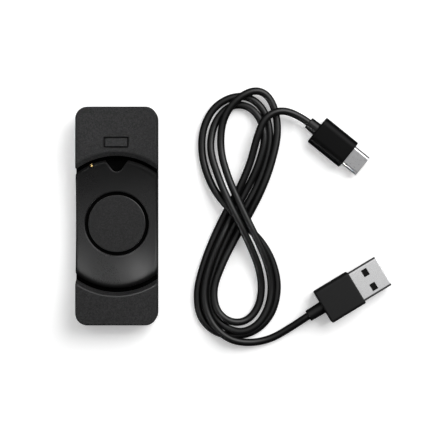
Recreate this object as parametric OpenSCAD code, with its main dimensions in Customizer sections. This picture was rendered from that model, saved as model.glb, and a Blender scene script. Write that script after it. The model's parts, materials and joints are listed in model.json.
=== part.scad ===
// Charging dock for a round wrist tracker, with its detached USB-A to USB-C lead.
// The dock stands on Z = 0 with its foot's centre at the origin; +Y points to the socket end.
// All sizes are in millimetres.

/* [Dock body] */
// Width of the dock, side to side
dock_w = 30; // [29:0.5:32]
// Length of the dock, end to end
dock_l = 80; // [78:1:84]
// Height of the two end ledges above the table
dock_h = 11; // [11:0.25:12]
// Corner radius in plan
corner_r = 4.4; // [3.5:0.1:5]
// Thickness of the housing's outer walls
wall = 1.4; // [1.2:0.1:1.6]
// Height of the table gap below the housing
skirt_gap = 0.6; // [0.5:0.1:0.8]

/* [Seat] */
// Distance of the seat's centre from the dock's centre, towards the plain end
seat_offset = 2.8; // [2.5:0.1:3]
// Radius of the seat cut in the two ledges
seat_r = 26.2; // [26:0.1:26.4]
// Radius of the dish that the watch lies in
dish_r = 23.8; // [23.5:0.1:24]
// Height of the dish's rim
rim_h = 10.2; // [10:0.1:10.4]
// Height that the bowl would reach at its centre
bowl_h = 7; // [6.9:0.1:7.2]
// Height of the groove's floor between dish and ledge
groove_h = 6.4; // [6.3:0.1:7.5]
// Radius of the dish's centre pad
pad_r = 10.55; // [10:0.05:11]
// Width of the ring groove round the centre pad
pad_gap = 1.15; // [1:0.05:1.3]
// Radius of the round inner end of the notch in the dish's rim
notch_r = 2.45; // [2.3:0.05:2.6]
// Angle that each side of the notch leans outwards
notch_lean = 36; // [32:1:38]

/* [Indicator] */
// Length of the indicator window, across the dock
window_l = 8.1; // [7.5:0.1:8.5]
// Width of the indicator window
window_w = 2.95; // [2.6:0.05:3.2]
// Width of the groove round the window
window_gap = 0.5; // [0.4:0.05:0.6]
// Distance of the window from the dock's centre
window_y = 26.9; // [26.5:0.1:28]

/* [Contacts] */
// Radius of a contact plunger
pin_r = 0.52; // [0.45:0.01:0.6]
// Outer radius of a contact barrel
barrel_r = 0.85; // [0.8:0.05:0.95]

/* [Lead] */
// Diameter of the cord
cord_d = 2.6; // [2.4:0.1:2.8]
// Width of the USB-A grip
a_grip_w = 13.3; // [13.2:0.1:13.8]
// Thickness of the USB-A grip
a_grip_t = 8; // [7.6:0.1:8]
// Length of the USB-A grip
a_grip_l = 14.4; // [14:0.1:15]
// Width of the USB-C grip
c_grip_w = 11.4; // [11.2:0.1:11.8]
// Thickness of the USB-C grip
c_grip_t = 6.5; // [6.2:0.1:6.5]
// Length of the USB-C grip
c_grip_l = 15; // [14.6:0.1:15.4]

/* [Hidden] */
$fn = 96;
eps = 0.01;

seat_y = -seat_offset;
// Radius of the sphere that hollows the bowl: it passes through the centre height and the rim
bowl_depth = rim_h - bowl_h;
bowl_sphere_r = (dish_r * dish_r + bowl_depth * bowl_depth) / (2 * bowl_depth);
rim_fillet = 1.5;
// The pad stands on the floor of its recess, below the bowl's surface
pad_z = [6.5, 7.4];
// Middle of the notch's round end
notch_y = 18.75;

// Heights inside the housing
cover_top = 2;
pocket_h = 6;
cradle_ceiling = 4.8;
ledge_ceiling = dock_h - wall;
board_z = [2.8, 3.6];
fit_gap = 0.1;

// Lip of the socket-end ledge: it slopes down and inwards over the groove
lip_r = 24.8;
lip_top = 10.1;
lip_under = 9.4;
lip_root = 9;
// Step in the wall of the plain-end ledge
step_r = 25.2;
step_z = [9.6, 8.2];

// Circuit board
board_w = 22;
board_y = [16.8, 37.6];
standoff_at = [[-7.5, 30], [7.5, 30]];
cover_screw_at = [for (sx = [-1, 1], sy = [-1, 1]) [sx * 10.8, sy * 36]];
screw_boss_r = 2;
screw_r = 0.75;
board_screw_r = 0.6;
cover_head_r = 1.7;
foot_w = 22;
foot_l = 66;
foot_inset = 0.24;
window_flange = 1;
flange_t = 0.6;
led = [1.6, 0.8, 0.8];

// Stack below the seat: ballast, steel shunt, ring magnet
ballast = [25, 52, 1.3];
ballast_y = -11;
shunt = [9.6, 0.5];
magnet = [9.5, 1.4];
magnet_bore = 3;
magnet_z = 3.9;

// Socket in the end face
socket_w = 8.94;
socket_t = 3.16;
socket_l = 7.4;
socket_wall = 0.3;
socket_z = board_z[1] + socket_t / 2;
socket_y = dock_l / 2 - 0.4;

// Spring contacts: one upright at the dish's rim, one lying under the lip
rim_pin_at = [-9, 18.3];
rim_pin_top = 10.7;
lip_pin_x = 9;
lip_pin_z = 8.35;
lip_pin_y = 20.5;

// Plug places: the back end of each strain relief, and the plug's heading
c_plug_at = [70.75, 34.6, 3.25];
c_plug_turn = -39;
a_plug_at = [70.6, -37, 4];
a_plug_turn = 31.2;
// Strain reliefs: radius at the cord, radius at the grip, length
c_relief = [2.3, 2.4, 4.1];
a_relief = [2.2, 2.3, 6.25];
// Shells: width, thickness, length that shows, wall; and how far into the grip each shell starts
c_shell = [8.3, 2.5, 6.7, 0.25];
a_shell = [12, 4.5, 11.55, 0.3];
c_inner = 9.8;
a_inner = 8;
c_grip_edge = 2.6;
a_grip_edge = 1.4;
// Latch windows: size along, size across, offset from the middle, distance from the grip
latch = [2.25, 2.8, 3, 4.5];
a_tongue_t = 1.7;

// Centre line of the cord from the USB-C relief to the USB-A relief: three laps of a figure of eight
cord_sides = 8;
cord_route = [
    [70.75, 34.6, 3.25], [66, 37.5, 3.9], [60.5, 39, 5], [55, 36.5, 5.8], [52, 30, 5.3],
    [49.2, 20, 3.8], [45, 10, 3], [40, 1, 1.8], [35.3, -9, 1.3], [31.6, -19, 1.3],
    [29.5, -29, 1.3], [31, -38, 1.3], [36, -43, 1.3], [43, -44.6, 1.3], [50, -43.2, 1.3],
    [56, -38, 1.3], [59.3, -27.5, 1.3], [57, -16, 2], [53.2, -9.5, 3.3], [48.5, -4.5, 4.4],
    [42, 2, 4.9], [36.3, 9, 3.6], [33, 16, 2], [31.2, 24, 1.3], [32, 33, 1.3], [35.6, 39.9, 1.3],
    [41.8, 44, 1.3], [48, 44.4, 1.3], [53, 41, 1.3], [56.4, 32, 1.3], [55, 20, 1.3],
    [51.2, 10, 1.3], [46, 1, 1.3], [40.2, -9, 1.3], [36.2, -19, 1.3], [34, -29, 1.3],
    [35.5, -36.5, 1.6], [40, -41.3, 2.8], [46, -43, 3.8], [51.5, -40.5, 3.9], [55.5, -34.5, 3.5],
    [57, -27, 3.3], [56, -19.5, 4.2], [53, -11.5, 5.8], [49, -3.5, 7], [45, 5, 6.7],
    [41.3, 13.5, 5.2], [38.2, 26, 3.4], [40, 37.5, 3.8], [44.5, 43.3, 4.4], [48, 45.6, 4.2],
    [51.6, 46.6, 3.7], [55, 45.3, 3.1], [57.5, 41.6, 2.6], [59.3, 33, 2.5], [57.1, 20, 3],
    [53.5, 10, 3.1], [49, 1, 2.2], [43.7, -8.2, 2], [38.6, -18.4, 3.1], [35.6, -28.5, 3.6],
    [37.3, -35.8, 3.8], [41.8, -39.2, 3.8], [47.5, -39, 2.2], [51.8, -34.5, 1.4],
    [53.4, -27.5, 1.6], [52.5, -20, 3], [49.5, -12, 5], [46, -4.5, 6.9], [41.3, 5, 7.6],
    [37.5, 14, 5.6], [34.4, 27, 2.4], [37.8, 37.4, 1.3], [42.5, 41.2, 1.3], [48.3, 40.8, 1.8],
    [52.5, 36.6, 2.7], [54.5, 30, 3.2], [52.5, 20, 2.7], [48, 10, 1.6], [42.9, 1, 1.8],
    [37.9, -9, 3.5], [33.9, -19, 3.6], [32, -29, 3.7], [33.4, -36.5, 3.8], [37, -42.2, 4],
    [42, -45.8, 3.8], [49, -47, 2.4], [56.5, -45.7, 1.4], [64, -41.5, 2.2], [70.6, -37, 4]
];

// ---------- shared shapes ----------

// Upright block with round plan corners, standing on z
module round_block(w, l, h, r, z = 0) {
    translate([0, 0, z]) {
        translate([-w / 2 + r, -l / 2, 0]) cube([w - 2 * r, l, h]);
        translate([-w / 2, -l / 2 + r, 0]) cube([w, l - 2 * r, h]);
        for (sx = [-1, 1], sy = [-1, 1])
            translate([sx * (w / 2 - r), sy * (l / 2 - r), 0]) cylinder(r = r, h = h);
    }
}

// Block lying along +X from the origin, with its four long edges round
module lying_block(w, h, l, r) {
    translate([0, -w / 2 + r, -h / 2]) cube([l, w - 2 * r, h]);
    translate([0, -w / 2, -h / 2 + r]) cube([l, w, h - 2 * r]);
    for (sy = [-1, 1], sz = [-1, 1])
        translate([0, sy * (w / 2 - r), sz * (h / 2 - r)]) rotate([0, 90, 0]) cylinder(r = r, h = l);
}

// Tube along +X with a flat-sided round outline, as a USB-C shell has
module pill_tube(w, h, l, t) {
    difference() {
        pill(w, h, l);
        translate([-1, 0, 0]) pill(w - 2 * t, h - 2 * t, l + 2);
    }
}

module pill(w, h, l) {
    translate([0, -w / 2 + h / 2, -h / 2]) cube([l, w - h, h]);
    for (sy = [-1, 1]) translate([0, sy * (w - h) / 2, 0]) rotate([0, 90, 0]) cylinder(d = h, h = l);
}

module at_seat(z = 0) {
    translate([0, seat_y, z]) children();
}

// Screw with a flat head, point up, head's face on z = 0
module screw_up(head_r, head_h, shank_r, length) {
    difference() {
        cylinder(r = head_r, h = head_h, $fn = 32);
        translate([0, 0, -eps]) cylinder(r = head_r * 0.5, h = head_h * 0.6, $fn = 6);
    }
    translate([0, 0, head_h - eps]) cylinder(r = shank_r, h = length - head_h, $fn = 32);
}

// Coil spring along +Z: a wire swept round a helix
module coil_spring(mean_r, wire_r, length, turns) {
    steps = 12;
    sides = 6;
    rings = turns * steps;
    rise = (length - 2 * wire_r) / rings;
    ring_points = [for (i = [0:rings], k = [0:sides - 1])
        let (a = i * 360 / steps, b = k * 360 / sides, r = mean_r + wire_r * cos(b))
        [r * cos(a), r * sin(a), wire_r + i * rise + wire_r * sin(b)]];
    polyhedron(points = ring_points, faces = tube_faces(rings + 1, sides, false));
}

// Faces of a closed tube of rings, each with the same number of sides
function tube_faces(rings, sides, flip) = let (
    walls = [for (i = [0:rings - 2], k = [0:sides - 1])
        let (a = i * sides + k, b = i * sides + (k + 1) % sides) [a, b, b + sides, a + sides]],
    low = [for (k = [sides - 1:-1:0]) k],
    high = [for (k = [0:sides - 1]) (rings - 1) * sides + k],
    all = concat(walls, [low], [high])
) flip ? all : [for (f = all) [for (k = [len(f) - 1:-1:0]) f[k]]];

function unit(v) = v / norm(v);

// ---------- dock ----------

module upper_housing() {
    color("dimgray") difference() {
        union() {
            housing_shell();
            at_seat() intersection() {
                seat_lip();
                translate([-dock_w / 2, 0, 0]) cube([dock_w, 30, dock_h]);
            }
            at_seat() intersection() {
                seat_step();
                translate([-dock_w / 2, -30, 0]) cube([dock_w, 30, dock_h]);
            }
            for (p = cover_screw_at) translate([p[0], p[1], cover_top + fit_gap])
                cylinder(r = screw_boss_r, h = ledge_ceiling - cover_top, $fn = 32);
        }
        for (p = cover_screw_at) translate([p[0], p[1], 0]) cylinder(r = screw_r, h = 5, $fn = 32);
        window_cut();
        socket_cut();
        contact_cuts();
        at_seat(cradle_ceiling - 1) cylinder(r = magnet[0] + 0.2, h = 1 + magnet_z + magnet[1] - cradle_ceiling + fit_gap);
    }
}

module housing_shell() {
    difference() {
        round_block(dock_w, dock_l, dock_h - skirt_gap, corner_r, skirt_gap);
        // seat cut, then the dish's pocket
        at_seat(groove_h) cylinder(r = seat_r, h = dock_h);
        at_seat(pocket_h) cylinder(r = dish_r + fit_gap, h = dock_h);
        // room below the seat, then the deeper room below each ledge
        round_block(dock_w - 2 * wall, dock_l - 2 * wall, cradle_ceiling, corner_r - wall, 0);
        difference() {
            round_block(dock_w - 2 * wall, dock_l - 2 * wall, ledge_ceiling, corner_r - wall, 0);
            at_seat(-eps) cylinder(r = seat_r + wall, h = dock_h);
        }
    }
}

module seat_lip() {
    rotate_extrude() polygon([[seat_r + 0.2, lip_root], [seat_r, lip_root], [lip_r, lip_under],
        [lip_r, lip_top], [seat_r, dock_h], [seat_r + 0.2, dock_h]]);
}

module seat_step() {
    rotate_extrude() polygon([[seat_r + 0.2, groove_h - 0.2], [step_r, groove_h - 0.2],
        [step_r, step_z[1]], [seat_r, step_z[0]], [seat_r + 0.2, step_z[0]]]);
}

module window_cut() {
    l = window_l + 2 * window_gap;
    w = window_w + 2 * window_gap;
    f = window_flange - window_gap + fit_gap;
    translate([-l / 2, window_y - w / 2, ledge_ceiling - 1]) cube([l, w, wall + 2]);
    translate([-l / 2 - f, window_y - w / 2 - f, ledge_ceiling - 1])
        cube([l + 2 * f, w + 2 * f, 1]);
}

module socket_cut() {
    translate([0, dock_l / 2 + 1, socket_z]) rotate([0, 0, -90])
        pill(socket_w + 2 * fit_gap, socket_t + 2 * fit_gap, wall + 2);
}

module contact_cuts() {
    translate([rim_pin_at[0], rim_pin_at[1], 3]) cylinder(r = barrel_r + 0.05, h = 6);
    translate([lip_pin_x, lip_pin_y, lip_pin_z]) rotate([-90, 0, 0]) cylinder(r = barrel_r + 0.05, h = 8);
}

module cradle_insert() {
    color("#333333") difference() {
        intersection() {
            at_seat() rotate_extrude() difference() {
                translate([0, pocket_h]) square([dish_r, rim_h - pocket_h]);
                translate([0, bowl_h + bowl_sphere_r]) circle(r = bowl_sphere_r, $fn = 360);
                translate([dish_r - rim_fillet, rim_h - rim_fillet]) rim_corner(rim_fillet);
            }
            translate([-dock_w / 2, -dock_l / 2, 0]) cube([dock_w, dock_l, dock_h]);
        }
        at_seat() ring_recess();
        translate([0, notch_y, pocket_h - 1]) linear_extrude(height = dock_h) notch_outline();
        translate([rim_pin_at[0], rim_pin_at[1], pocket_h - 1]) cylinder(r = barrel_r + 0.05, h = 3.5);
        translate([rim_pin_at[0], rim_pin_at[1], pocket_h]) cylinder(r = pin_r + 0.06, h = dock_h);
    }
}

// Plan of the notch: a round end whose sides lean outwards, tangent to it
module notch_outline() {
    reach = 8;
    side = [notch_r * cos(notch_lean), -notch_r * sin(notch_lean)];
    mouth = (notch_r + reach * sin(notch_lean)) / cos(notch_lean);
    circle(r = notch_r);
    polygon([[-side[0], side[1]], side, [mouth, reach], [-mouth, reach]]);
}

// The corner that is cut away to leave a fillet of radius r
module rim_corner(r) {
    difference() {
        square([r + 1, r + 1]);
        circle(r = r);
    }
}

module ring_recess() {
    translate([0, 0, pad_z[0]]) cylinder(r = pad_r + pad_gap, h = dock_h);
}

module centre_pad() {
    color("#2e2e2e") at_seat(pad_z[0]) cylinder(r = pad_r, h = pad_z[1] - pad_z[0]);
}

module status_window() {
    color("#3a3a3a") {
        translate([-window_l / 2, window_y - window_w / 2, ledge_ceiling])
            cube([window_l, window_w, wall]);
        translate([-window_l / 2 - window_flange, window_y - window_w / 2 - window_flange,
            ledge_ceiling - flange_t])
            cube([window_l + 2 * window_flange, window_w + 2 * window_flange, flange_t]);
    }
}

module light_pipe() {
    foot = board_z[1] + led[2];
    color("white", 0.6) translate([-1.5, window_y - 0.9, foot])
        cube([3, 1.8, ledge_ceiling - flange_t - foot]);
}

module indicator_led() {
    color("ivory") translate([-led[0] / 2, window_y - led[1] / 2, board_z[1]]) cube(led);
}

module base_cover() {
    color("#262626") difference() {
        round_block(dock_w - 2 * wall - 0.2, dock_l - 2 * wall - 0.2, cover_top - skirt_gap,
            corner_r - wall - 0.1, skirt_gap);
        round_block(foot_w + 0.2, foot_l + 0.2, foot_inset + eps, 3.1, skirt_gap - eps);
        for (p = cover_screw_at) translate([p[0], p[1], 0]) {
            cylinder(r = screw_r + 0.2, h = 3, $fn = 32);
            cylinder(r = cover_head_r + 0.2, h = skirt_gap + 0.9, $fn = 32);
        }
        for (p = standoff_at) translate([p[0], p[1], 0.9]) cylinder(r = board_screw_r, h = 3, $fn = 32);
    }
    color("#262626") for (p = standoff_at) translate([p[0], p[1], cover_top]) difference() {
        cylinder(r = board_screw_r + 1, h = board_z[0] - cover_top, $fn = 32);
        translate([0, 0, -eps]) cylinder(r = board_screw_r, h = 3, $fn = 32);
    }
}

module foot_pad() {
    color("#1c1c1c") round_block(foot_w, foot_l, skirt_gap + foot_inset, 3, 0);
}

module cover_screws() {
    color("silver") for (p = cover_screw_at) translate([p[0], p[1], skirt_gap + 0.3])
        screw_up(cover_head_r, 0.55, screw_r, 3.6);
}

module board_screws() {
    color("silver") for (p = standoff_at) translate([p[0], p[1], board_z[1]]) mirror([0, 0, 1])
        translate([0, 0, -0.5]) screw_up(1.1, 0.5, board_screw_r, 2.8);
}

module main_board() {
    color("darkgreen") difference() {
        translate([-board_w / 2, board_y[0], board_z[0]])
            cube([board_w, board_y[1] - board_y[0], board_z[1] - board_z[0]]);
        for (p = standoff_at) translate([p[0], p[1], 0]) cylinder(r = board_screw_r + 0.05, h = 6, $fn = 32);
        for (p = cover_screw_at) translate([p[0], p[1], 0]) cylinder(r = screw_boss_r + 0.3, h = 6, $fn = 32);
    }
}

module charge_chip() {
    color("#202020") translate([-2, 21.6, board_z[1]]) cube([4, 3, 0.9]);
}

// Small parts in two rows beside the chip and the window
module board_components() {
    color("tan") for (x = [-5.6, -4.1, 4.1, 5.6], y = [20.5, 23])
        translate([x - 0.4, y, board_z[1]]) cube([0.8, 1.4, 0.6]);
    color("tan") for (x = [-5, 5]) translate([x - 0.8, 27, board_z[1]]) cube([1.6, 2.4, 1.2]);
}

// Socket parts lie along -Y from the end face
module in_socket() {
    translate([0, socket_y, socket_z]) rotate([0, 0, -90]) children();
}

module socket_shell() {
    color("silver") in_socket() {
        pill_tube(socket_w, socket_t, socket_l, socket_wall);
        translate([socket_l - 0.3, 0, 0]) pill(socket_w - 0.2, socket_t - 0.2, 0.3);
    }
}

module socket_tongue() {
    color("#181818") in_socket() {
        translate([0.9, -3.35, -0.35]) cube([socket_l - 2.4, 6.7, 0.7]);
        translate([socket_l - 1.6, 0, 0]) pill(socket_w - 0.7, socket_t - 0.7, 1.25);
    }
}

// A row of flat strips on each side of the tongue
module socket_contacts() {
    color("gold") in_socket() for (k = [-5:2:5], side = [-1, 1])
        translate([1.2, k * 0.5 - 0.15, side * 0.38 - 0.03]) cube([4, 0.3, 0.06]);
}

module seat_magnet() {
    color("lightgray") at_seat(magnet_z) difference() {
        cylinder(r = magnet[0], h = magnet[1]);
        translate([0, 0, -1]) cylinder(r = magnet_bore, h = 4);
    }
}

module shunt_plate() {
    color("gray") at_seat(magnet_z - shunt[1]) cylinder(r = shunt[0], h = shunt[1]);
}

module ballast_plate() {
    color("gray") difference() {
        translate([-ballast[0] / 2, ballast_y - ballast[1] / 2, cover_top]) cube(ballast);
        for (p = cover_screw_at) translate([p[0], p[1], 0]) cylinder(r = screw_boss_r + 0.3, h = 6, $fn = 32);
    }
}

// Contact plunger along +Z with a round tip at z = 0 and a collar inside its barrel
module plunger(length) {
    translate([0, 0, -pin_r]) sphere(r = pin_r, $fn = 32);
    translate([0, 0, -length]) cylinder(r = pin_r, h = length - pin_r, $fn = 32);
    translate([0, 0, -length - 0.5]) cylinder(r = pin_r + 0.1, h = 0.5, $fn = 32);
}

// Barrel along -Z from z = 0, open at the top, closed below
module barrel(length) {
    difference() {
        translate([0, 0, -length]) cylinder(r = barrel_r, h = length, $fn = 48);
        translate([0, 0, -length + 0.3]) cylinder(r = pin_r + 0.15, h = length - 0.7, $fn = 48);
        translate([0, 0, -0.5]) cylinder(r = pin_r + 0.05, h = 1, $fn = 48);
    }
}

module at_rim_pin(z) {
    translate([rim_pin_at[0], rim_pin_at[1], z]) children();
}

// The lying contact points at the dish: its tip faces -Y
module at_lip_pin(depth) {
    translate([lip_pin_x, lip_pin_y + depth, lip_pin_z]) rotate([90, 0, 0]) children();
}

module rim_pin() {
    color("gold") at_rim_pin(rim_pin_top) plunger(2.7);
}

module rim_pin_barrel() {
    color("goldenrod") at_rim_pin(8.4) barrel(8.4 - board_z[1]);
}

module rim_pin_spring() {
    color("silver") at_rim_pin(board_z[1] + 0.3) coil_spring(0.42, 0.1, 3.6, 6);
}

module lip_pin() {
    color("gold") at_lip_pin(0) plunger(2);
}

module lip_pin_barrel() {
    color("goldenrod") at_lip_pin(1.6) barrel(5);
}

module lip_pin_spring() {
    color("silver") at_lip_pin(6.3) coil_spring(0.42, 0.1, 3.8, 6);
}

// Flat lead from the lying barrel's back down to the board, and a solder collar below the upright one
module contact_leads() {
    color("orangered") {
        translate([lip_pin_x - 0.4, lip_pin_y + 6.6, board_z[1] + 0.2])
            cube([0.8, 0.3, lip_pin_z - board_z[1] + 0.4]);
        translate([lip_pin_x - 2.4, lip_pin_y + 6.6, board_z[1]]) cube([2.8, 0.3, 0.2]);
    }
    color("orangered") translate([rim_pin_at[0], rim_pin_at[1], board_z[1]]) difference() {
        cylinder(r = barrel_r + 0.35, h = 0.3, $fn = 32);
        translate([0, 0, -eps]) cylinder(r = barrel_r, h = 1, $fn = 32);
    }
}

// ---------- lead ----------

// Round tube swept along the route: each ring stands across the mean of its two neighbours' headings
module cord() {
    last = len(cord_route) - 1;
    ring_points = [for (i = [0:last], k = [0:cord_sides - 1])
        let (ahead = cord_route[min(i + 1, last)], behind = cord_route[max(i - 1, 0)],
            along = cord_heading(i, last, ahead, behind),
            side = unit(cross(along, [0, 0, 1])), up = cross(side, along),
            a = (k + 0.5) * 360 / cord_sides)
        cord_route[i] + cord_d / 2 * (side * cos(a) + up * sin(a))];
    color("#1a1a1a") polyhedron(points = ring_points, faces = tube_faces(last + 1, cord_sides, true));
}

// The end rings face their plugs squarely
function cord_heading(i, last, ahead, behind) =
    i == 0 ? -[cos(c_plug_turn), sin(c_plug_turn), 0] :
    i == last ? [cos(a_plug_turn), sin(a_plug_turn), 0] : unit(ahead - behind);

module at_c_plug(x = 0) {
    translate(c_plug_at) rotate([0, 0, c_plug_turn]) translate([x, 0, 0]) children();
}

module at_a_plug(x = 0) {
    translate(a_plug_at) rotate([0, 0, a_plug_turn]) translate([x, 0, 0]) children();
}

module usb_c_relief() {
    color("#1a1a1a") at_c_plug() rotate([0, 90, 0]) cylinder(r1 = c_relief[0], r2 = c_relief[1], h = c_relief[2]);
}

module usb_c_grip() {
    color("#1c1c1c") at_c_plug(c_relief[2]) difference() {
        lying_block(c_grip_w, c_grip_t, c_grip_l, c_grip_edge);
        translate([3, 0, 0]) pill(c_shell[0], c_shell[1], c_grip_l);
    }
}

module usb_c_board() {
    color("darkgreen") at_c_plug(c_relief[2] + 3.4) translate([0, -3.2, -0.4]) cube([6, 6.4, 0.8]);
}

module usb_c_shell() {
    color("silver") at_c_plug(c_relief[2] + c_inner)
        pill_tube(c_shell[0], c_shell[1], c_grip_l - c_inner + c_shell[2], c_shell[3]);
}

module usb_c_insulator() {
    color("#181818") at_c_plug(c_relief[2] + c_inner) difference() {
        pill(c_shell[0] - 2 * c_shell[3], c_shell[1] - 2 * c_shell[3], c_grip_l - c_inner + c_shell[2] - 0.3);
        translate([c_grip_l - c_inner + 0.2, 0, 0]) pill(c_shell[0] - 1.3, c_shell[1] - 1.5, 8);
    }
}

module usb_c_contacts() {
    color("gold") at_c_plug(c_relief[2] + c_grip_l) for (k = [-5:2:5], side = [-1, 1])
        translate([1.2, k * 0.5 - 0.15, side * 0.44 - 0.05]) cube([4.8, 0.3, 0.1]);
}

module usb_a_relief() {
    color("#1a1a1a") at_a_plug() rotate([0, 90, 0]) cylinder(r1 = a_relief[0], r2 = a_relief[1], h = a_relief[2]);
}

module usb_a_grip() {
    color("#2a2a2a") at_a_plug(a_relief[2]) difference() {
        lying_block(a_grip_w, a_grip_t, a_grip_l, a_grip_edge);
        translate([3, -a_shell[0] / 2, -a_shell[1] / 2]) cube([20, a_shell[0], a_shell[1]]);
    }
}

module usb_a_core() {
    color("ivory") at_a_plug(a_relief[2] + 3.2) translate([0, -5.4, -1.9]) cube([4.6, 10.8, 3.8]);
}

// Folded steel shell with two latch windows in each broad face
module usb_a_shell() {
    l = a_grip_l - a_inner + a_shell[2];
    t = a_shell[3];
    color("silver") at_a_plug(a_relief[2] + a_inner) difference() {
        translate([0, -a_shell[0] / 2, -a_shell[1] / 2]) cube([l, a_shell[0], a_shell[1]]);
        translate([-1, -a_shell[0] / 2 + t, -a_shell[1] / 2 + t])
            cube([l + 2, a_shell[0] - 2 * t, a_shell[1] - 2 * t]);
        for (sy = [-1, 1]) translate([a_grip_l - a_inner + latch[3], sy * latch[2] - latch[1] / 2, -5])
            cube([latch[0], latch[1], 10]);
    }
}

// The tongue lies against the shell's upper face and its contacts face down
module usb_a_insulator() {
    w = a_shell[0] - 2 * a_shell[3] - fit_gap;
    top = a_shell[1] / 2 - a_shell[3] - fit_gap / 2;
    color("#1c1c1c") at_a_plug(a_relief[2] + a_inner) {
        translate([0, -w / 2, top - a_tongue_t])
            cube([a_grip_l - a_inner + a_shell[2] - 0.6, w, a_tongue_t]);
        translate([0, -w / 2, -top]) cube([a_grip_l - a_inner, w, 2 * top - a_tongue_t]);
    }
}

module usb_a_contacts() {
    under = a_shell[1] / 2 - a_shell[3] - fit_gap / 2 - a_tongue_t;
    color("gold") at_a_plug(a_relief[2] + a_grip_l) for (y = [-3.5, -1, 1, 3.5])
        translate([0.6, y - 0.5, under - 0.12]) cube([8, 1, 0.12]);
}

upper_housing();
cradle_insert();
centre_pad();
status_window();
light_pipe();
indicator_led();
base_cover();
foot_pad();
cover_screws();
board_screws();
main_board();
charge_chip();
board_components();
socket_shell();
socket_tongue();
socket_contacts();
seat_magnet();
shunt_plate();
ballast_plate();
rim_pin();
rim_pin_barrel();
rim_pin_spring();
lip_pin();
lip_pin_barrel();
lip_pin_spring();
contact_leads();
cord();
usb_c_relief();
usb_c_grip();
usb_c_board();
usb_c_shell();
usb_c_insulator();
usb_c_contacts();
usb_a_relief();
usb_a_grip();
usb_a_core();
usb_a_shell();
usb_a_insulator();
usb_a_contacts();
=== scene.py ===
"""Looks for a charging dock and its loose USB lead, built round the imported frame.

Lengths in the shape code are millimetres in the dock's own frame: the origin is under the middle of the
dock, +Y points to its socket end and +Z up. They become metres when a mesh is made.
"""

import json
import logging
import math
from dataclasses import dataclass
from enum import Enum
from typing import Any, Sequence

import bmesh
import bpy
import numpy as np
from mathutils import Matrix, Vector
from numpy.typing import NDArray

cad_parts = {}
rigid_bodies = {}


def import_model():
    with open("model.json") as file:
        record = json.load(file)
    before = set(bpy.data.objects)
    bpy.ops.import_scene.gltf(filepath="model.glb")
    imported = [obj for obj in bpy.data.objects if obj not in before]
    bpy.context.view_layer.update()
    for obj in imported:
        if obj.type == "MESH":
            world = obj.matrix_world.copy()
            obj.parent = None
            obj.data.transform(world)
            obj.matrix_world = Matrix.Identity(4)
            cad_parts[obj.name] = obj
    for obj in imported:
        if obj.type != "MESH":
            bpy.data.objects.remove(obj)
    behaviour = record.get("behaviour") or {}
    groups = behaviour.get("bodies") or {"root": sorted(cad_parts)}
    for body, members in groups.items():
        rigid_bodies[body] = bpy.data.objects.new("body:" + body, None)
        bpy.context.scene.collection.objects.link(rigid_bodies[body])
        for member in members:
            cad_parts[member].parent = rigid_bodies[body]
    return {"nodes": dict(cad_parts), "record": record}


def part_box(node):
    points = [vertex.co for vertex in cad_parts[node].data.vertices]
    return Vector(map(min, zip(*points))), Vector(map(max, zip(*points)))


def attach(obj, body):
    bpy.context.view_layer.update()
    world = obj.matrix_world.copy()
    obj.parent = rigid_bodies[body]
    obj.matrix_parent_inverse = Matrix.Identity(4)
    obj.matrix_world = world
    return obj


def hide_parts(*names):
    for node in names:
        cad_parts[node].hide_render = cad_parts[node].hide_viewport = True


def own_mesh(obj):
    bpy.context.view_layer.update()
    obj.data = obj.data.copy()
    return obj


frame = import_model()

Array = NDArray[np.float64]
Pair = tuple[float, float]
Triple = tuple[float, float, float]
LOG = logging.getLogger("charging_dock")
MM = 0.001
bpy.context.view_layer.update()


# ---------------------------------------------------------------- shader maths


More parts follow.
